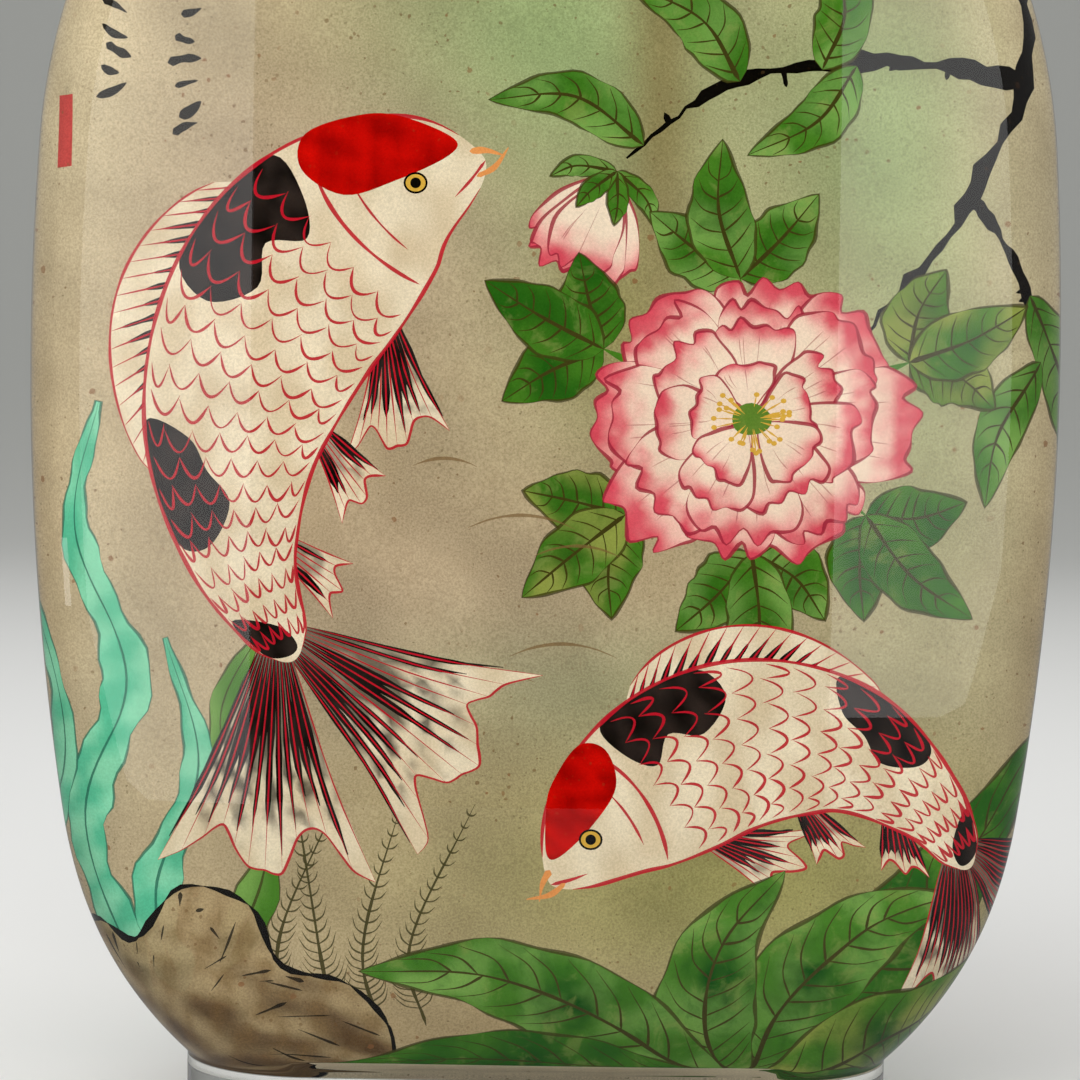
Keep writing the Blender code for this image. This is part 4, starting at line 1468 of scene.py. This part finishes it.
def paintFinish():
    # the painted colour, times a slow drift, with blots and thin places on the leaves, grain on
    # the ground, and specks in the cells of three Voronoi textures
    look = paintTexture
    finish = Finish("inside_painting", {"Roughness": 0.75, "Specular IOR Level": 0.0})
    where = finish.place()
    painted = finish.add("ShaderNodeAttribute", {"attribute_name": "paint"}, {}, "Color")
    marks = finish.add("ShaderNodeAttribute", {"attribute_name": "marks"}, {}, "Color")
    mottle = finish.add("ShaderNodeSeparateColor", {}, {0: marks})
    grain = mottle.twin(1)
    (blotTone, blotCover), (thinTone, thinCover) = look["blots"], look["thinPlaces"]
    drift = finish.noise(where, look["driftSize"], 5.0, 0.6)
    blots = finish.noise(where, look["blotSize"], 4.0, 0.62, 0.6)
    fine = finish.noise(where, look["grainSize"], 3.0, 0.7)
    colour = finish.mix(drift.over(0.25, 0.75), *look["driftRange"])
    colour = finish.mix(1.0, painted, colour, "MULTIPLY")
    colour = finish.mix(blots.over(0.52, 0.68) * mottle * blotCover, colour, tone(*blotTone))
    colour = finish.mix((1 - blots.over(0.32, 0.48)) * mottle * thinCover, colour, tone(*thinTone))
    tint = finish.mix(fine.over(0.32, 0.68), *look["grainRange"])
    colour = finish.mix(grain * 0.8 + 0.15, colour, tint, "MULTIPLY")
    shift = finish.noise(where, look["bendSize"], 2.0, 0.6, output="Color")
    bend = {0: shift, 1: [look["speckBend"]] * 3, 2: where}
    bent = finish.add("ShaderNodeVectorMath", {"operation": "MULTIPLY_ADD"}, bend)
    patches = finish.noise(where, look["patchSize"], 2.0, 0.5).over(0.36, 0.56) * 0.8 + 0.2
    for spacing, radius, share, cover, shade in look["specks"]:
        near = finish.add("ShaderNodeTexVoronoi", {"feature": "F1"}, {"Vector": bent, "Scale": 1 / spacing})
        cell = finish.add("ShaderNodeSeparateColor", {}, {0: near.twin(1)})
        size = cell.twin(1) * radius + radius * 0.45
        speck = (1 - (near - size).over(-0.012, 0.02)) * cell.over(1 - share, 1.02 - share)
        colour = finish.mix(speck * grain.over(0.3, 0.9) * patches * cover, colour, tone(*shade))
    finish.set("Base Color", colour)
    return finish.material


def paintedPiece(name, painting, back, material):
    # the painted sheet laid onto the wall, its colours and marks as attributes of its corners
    points, triangles, colours, marks = paintedSheet(painting)
    mesh = meshOf(name, ontoWall(points[:, 0], points[:, 1], back), triangles)
    marks = np.dstack([marks, np.zeros(marks.shape[:2])])
    for layer, values in (("paint", colours), ("marks", marks)):
        attribute = mesh.color_attributes.new(layer, "FLOAT_COLOR", "CORNER")
        rgba = np.concatenate([values.reshape(-1, 3), np.ones((values.size // 3, 1))], 1)
        attribute.data.foreach_set("color", rgba.astype(np.float32).ravel())
    # the flat sheet, scaled to 1, is the piece's UV map, named OFBake
    low, high = points.min(axis=0), points.max(axis=0)
    flat = (points[triangles.ravel()] - low) / (high - low).max()
    mesh.uv_layers.new(name="OFBake").data.foreach_set("uv", flat.astype(np.float32).ravel())
    print(name, len(triangles), "triangles,", len(painting.shapes), "shapes")
    return linkPiece(name, mesh, material)


paintMaterial = paintFinish()
paintedPiece("painting_front", frontPicture(), False, paintMaterial)
paintedPiece("painting_back", backPicture(), True, paintMaterial)


# The floor, which sweeps up behind the bottle, the lamps and the camera.
studio = {
    "floorTone": (232, 232, 230),
    # the grey of the painted shade at the floor's far end
    "farShadeTone": (176, 177, 173),
    "farFrom": 110.0,
    "farTo": 500.0,
    "floorFront": -420.0,
    "floorHalfWidth": 900.0,
    "sweepStart": 360.0,
    "sweepRadius": 320.0,
    "wallTop": 620.0,
    "cameraDistance": 180.0,
    "cameraElevation": 4.0,  # degrees
    "roll": 0.8,  # degrees
    "frameWidth": 53.5,  # mm of the bottle's middle plane across the frame
    "aim": (-0.14, 0.0, 28.1),
    "worldStrength": 0.22,
    "backStrength": 1.3,
    "backElevation": 12.0,  # degrees
    "backSoftness": 40.0,  # degrees
    "panelDistance": 590.0,  # softboxes on both sides of the camera, and a dark card between them
    "panelStart": 98.0,
    "panelEnd": 600.0,
    "panelLow": (-108.0, -79.0),  # left and right
    "panelHigh": 290.0,
    "panelWatts": 0.82,
    "lamps": (  # name, place, aim, size, watts, whether the glass mirrors it
        ("key", (-120, -330, 470), (0, 0, 30), (520, 300), 1.95, True),
        ("side_left", (-520, -120, 330), (0, 0, 30), (220, 300), 0.95, False),
        ("side_right", (520, -120, 330), (0, 0, 30), (220, 300), 0.95, False),
        ("top_back", (0, 260, 380), (0, 240, 0), (620, 260), 0.4, False),
        ("glint", (-580, -150, -60), (0, 0, 28), (110, 28), 0.025, True),
    ),
    "sweepSteps": 32,
    "cardBehind": 4.0,  # the panels, so that it hides none of them
    "sensorWidth": 36.0,
}


def floorPiece():
    # a level strip, a quarter of a circle and an upright wall, spread from side to side; it
    # darkens towards its far end with painted shade for light falling off, and the glass doesn't mirror it
    finish = Finish("pale_floor", {"Roughness": 0.6, "Specular IOR Level": 0.1})
    depth = finish.add("ShaderNodeSeparateXYZ", {}, {0: finish.place()}, "Y")
    # painted shade: the floor's colour greys with distance, as though less light reached it
    far = depth.over(studio["farFrom"], studio["farTo"])
    finish.set("Base Color", finish.mix(far, tone(*studio["floorTone"]), tone(*studio["farShadeTone"])))
    turns = np.linspace(0, math.pi / 2, studio["sweepSteps"] + 1)
    y = np.concatenate([[studio["floorFront"]], studio["sweepStart"] + studio["sweepRadius"] * np.sin(turns)])
    z = np.concatenate([[0], studio["sweepRadius"] * (1 - np.cos(turns))])
    y, z = np.append(y, y[-1]), np.append(z, studio["wallTop"])
    left = np.stack([np.full(len(y), -studio["floorHalfWidth"]), y, z], 1)
    index = np.arange(len(y) - 1)
    quads = np.stack([index, index + len(y), index + len(y) + 1, index + 1], 1)
    mesh = meshOf("studio_floor", np.concatenate([left, left * [-1, 1, 1]]), quads)
    mesh.materials.append(finish.material)
    piece = bpy.data.objects.new("studio_floor", mesh)
    piece.visible_glossy = False
    piece.visible_shadow = False
    bpy.context.scene.collection.objects.link(piece)


def darkCard():
    # it keeps the middle of the front face free of reflections
    black = (0.004, 0.004, 0.004, 1)
    finish = Finish("dark_card", {"Roughness": 1.0, "Specular IOR Level": 0.0, "Base Color": black})
    x, y = studio["panelStart"], -studio["panelDistance"] - studio["cardBehind"]
    low, high = min(studio["panelLow"]), studio["panelHigh"]
    corners = np.array([[-x, y, low], [x, y, low], [x, y, high], [-x, y, high]])
    mesh = meshOf("dark_card", corners, np.array([[0, 1, 2, 3]]))
    mesh.materials.append(finish.material)
    piece = bpy.data.objects.new("dark_card", mesh)
    piece.visible_camera = False
    bpy.context.scene.collection.objects.link(piece)


def lamp(name, where, target, size, watts, mirrored):
    # a rectangular softbox that the camera doesn't see
    light = bpy.data.lights.new(name, "AREA")
    light.shape = "RECTANGLE"
    light.size, light.size_y = size[0] * mm, size[1] * mm
    light.energy = watts
    placed = bpy.data.objects.new(name, light)
    placed.location = Vector(where) * mm
    placed.rotation_euler = (Vector(target) - Vector(where)).to_track_quat("-Z", "Y").to_euler()
    placed.visible_camera = False
    placed.visible_glossy = mirrored
    bpy.context.scene.collection.objects.link(placed)


def backLight():
    # a low, soft light on the bottle's back, which the floor's sweep lets through
    light = bpy.data.lights.new("back", "SUN")
    light.angle = math.radians(studio["backSoftness"])
    light.energy = studio["backStrength"]
    placed = bpy.data.objects.new("back", light)
    placed.rotation_euler = (math.radians(studio["backElevation"] - 90), 0, 0)
    placed.visible_glossy = False
    bpy.context.scene.collection.objects.link(placed)


def lightStudio():
    # the two panels, the lamps, the light on the back and an even white world
    near, far = studio["panelStart"], studio["panelEnd"]
    for name, side, low in zip(("panel_left", "panel_right"), (-1, 1), studio["panelLow"]):
        x, z = side * (near + far) / 2, (low + studio["panelHigh"]) / 2
        size = (far - near, studio["panelHigh"] - low)
        lamp(name, (x, -studio["panelDistance"], z), (x, 0, z), size, studio["panelWatts"], True)
    for values in studio["lamps"]:
        lamp(*values)
    backLight()
    world = bpy.data.worlds.new("studio")
    world.use_nodes = True
    background = world.node_tree.nodes["Background"]
    background.inputs["Color"].default_value = (1.0, 1.0, 1.0, 1)
    background.inputs["Strength"].default_value = studio["worldStrength"]
    bpy.context.scene.world = world


def aimCamera():
    # a pinhole at the given distance and elevation, framed on the bottle's middle plane
    data = bpy.data.cameras.new("camera")
    data.sensor_width = studio["sensorWidth"]
    data.lens = studio["sensorWidth"] * studio["cameraDistance"] / studio["frameWidth"]
    data.clip_start = 0.01
    camera = bpy.data.objects.new("camera", data)
    rise = math.radians(studio["cameraElevation"])
    aim = Vector(studio["aim"])
    camera.location = (aim + studio["cameraDistance"] * Vector((0, -math.cos(rise), math.sin(rise)))) * mm
    tilt = Euler((math.pi / 2 - rise, 0, 0)).to_matrix()
    roll = Euler((0, 0, math.radians(studio["roll"]))).to_matrix()
    camera.rotation_euler = (tilt @ roll).to_euler()
    bpy.context.scene.collection.objects.link(camera)
    bpy.context.scene.camera = camera


floorPiece()
darkCard()
lightStudio()
aimCamera()
bpy.context.scene.view_settings.view_transform = "Standard"
print("studio set")
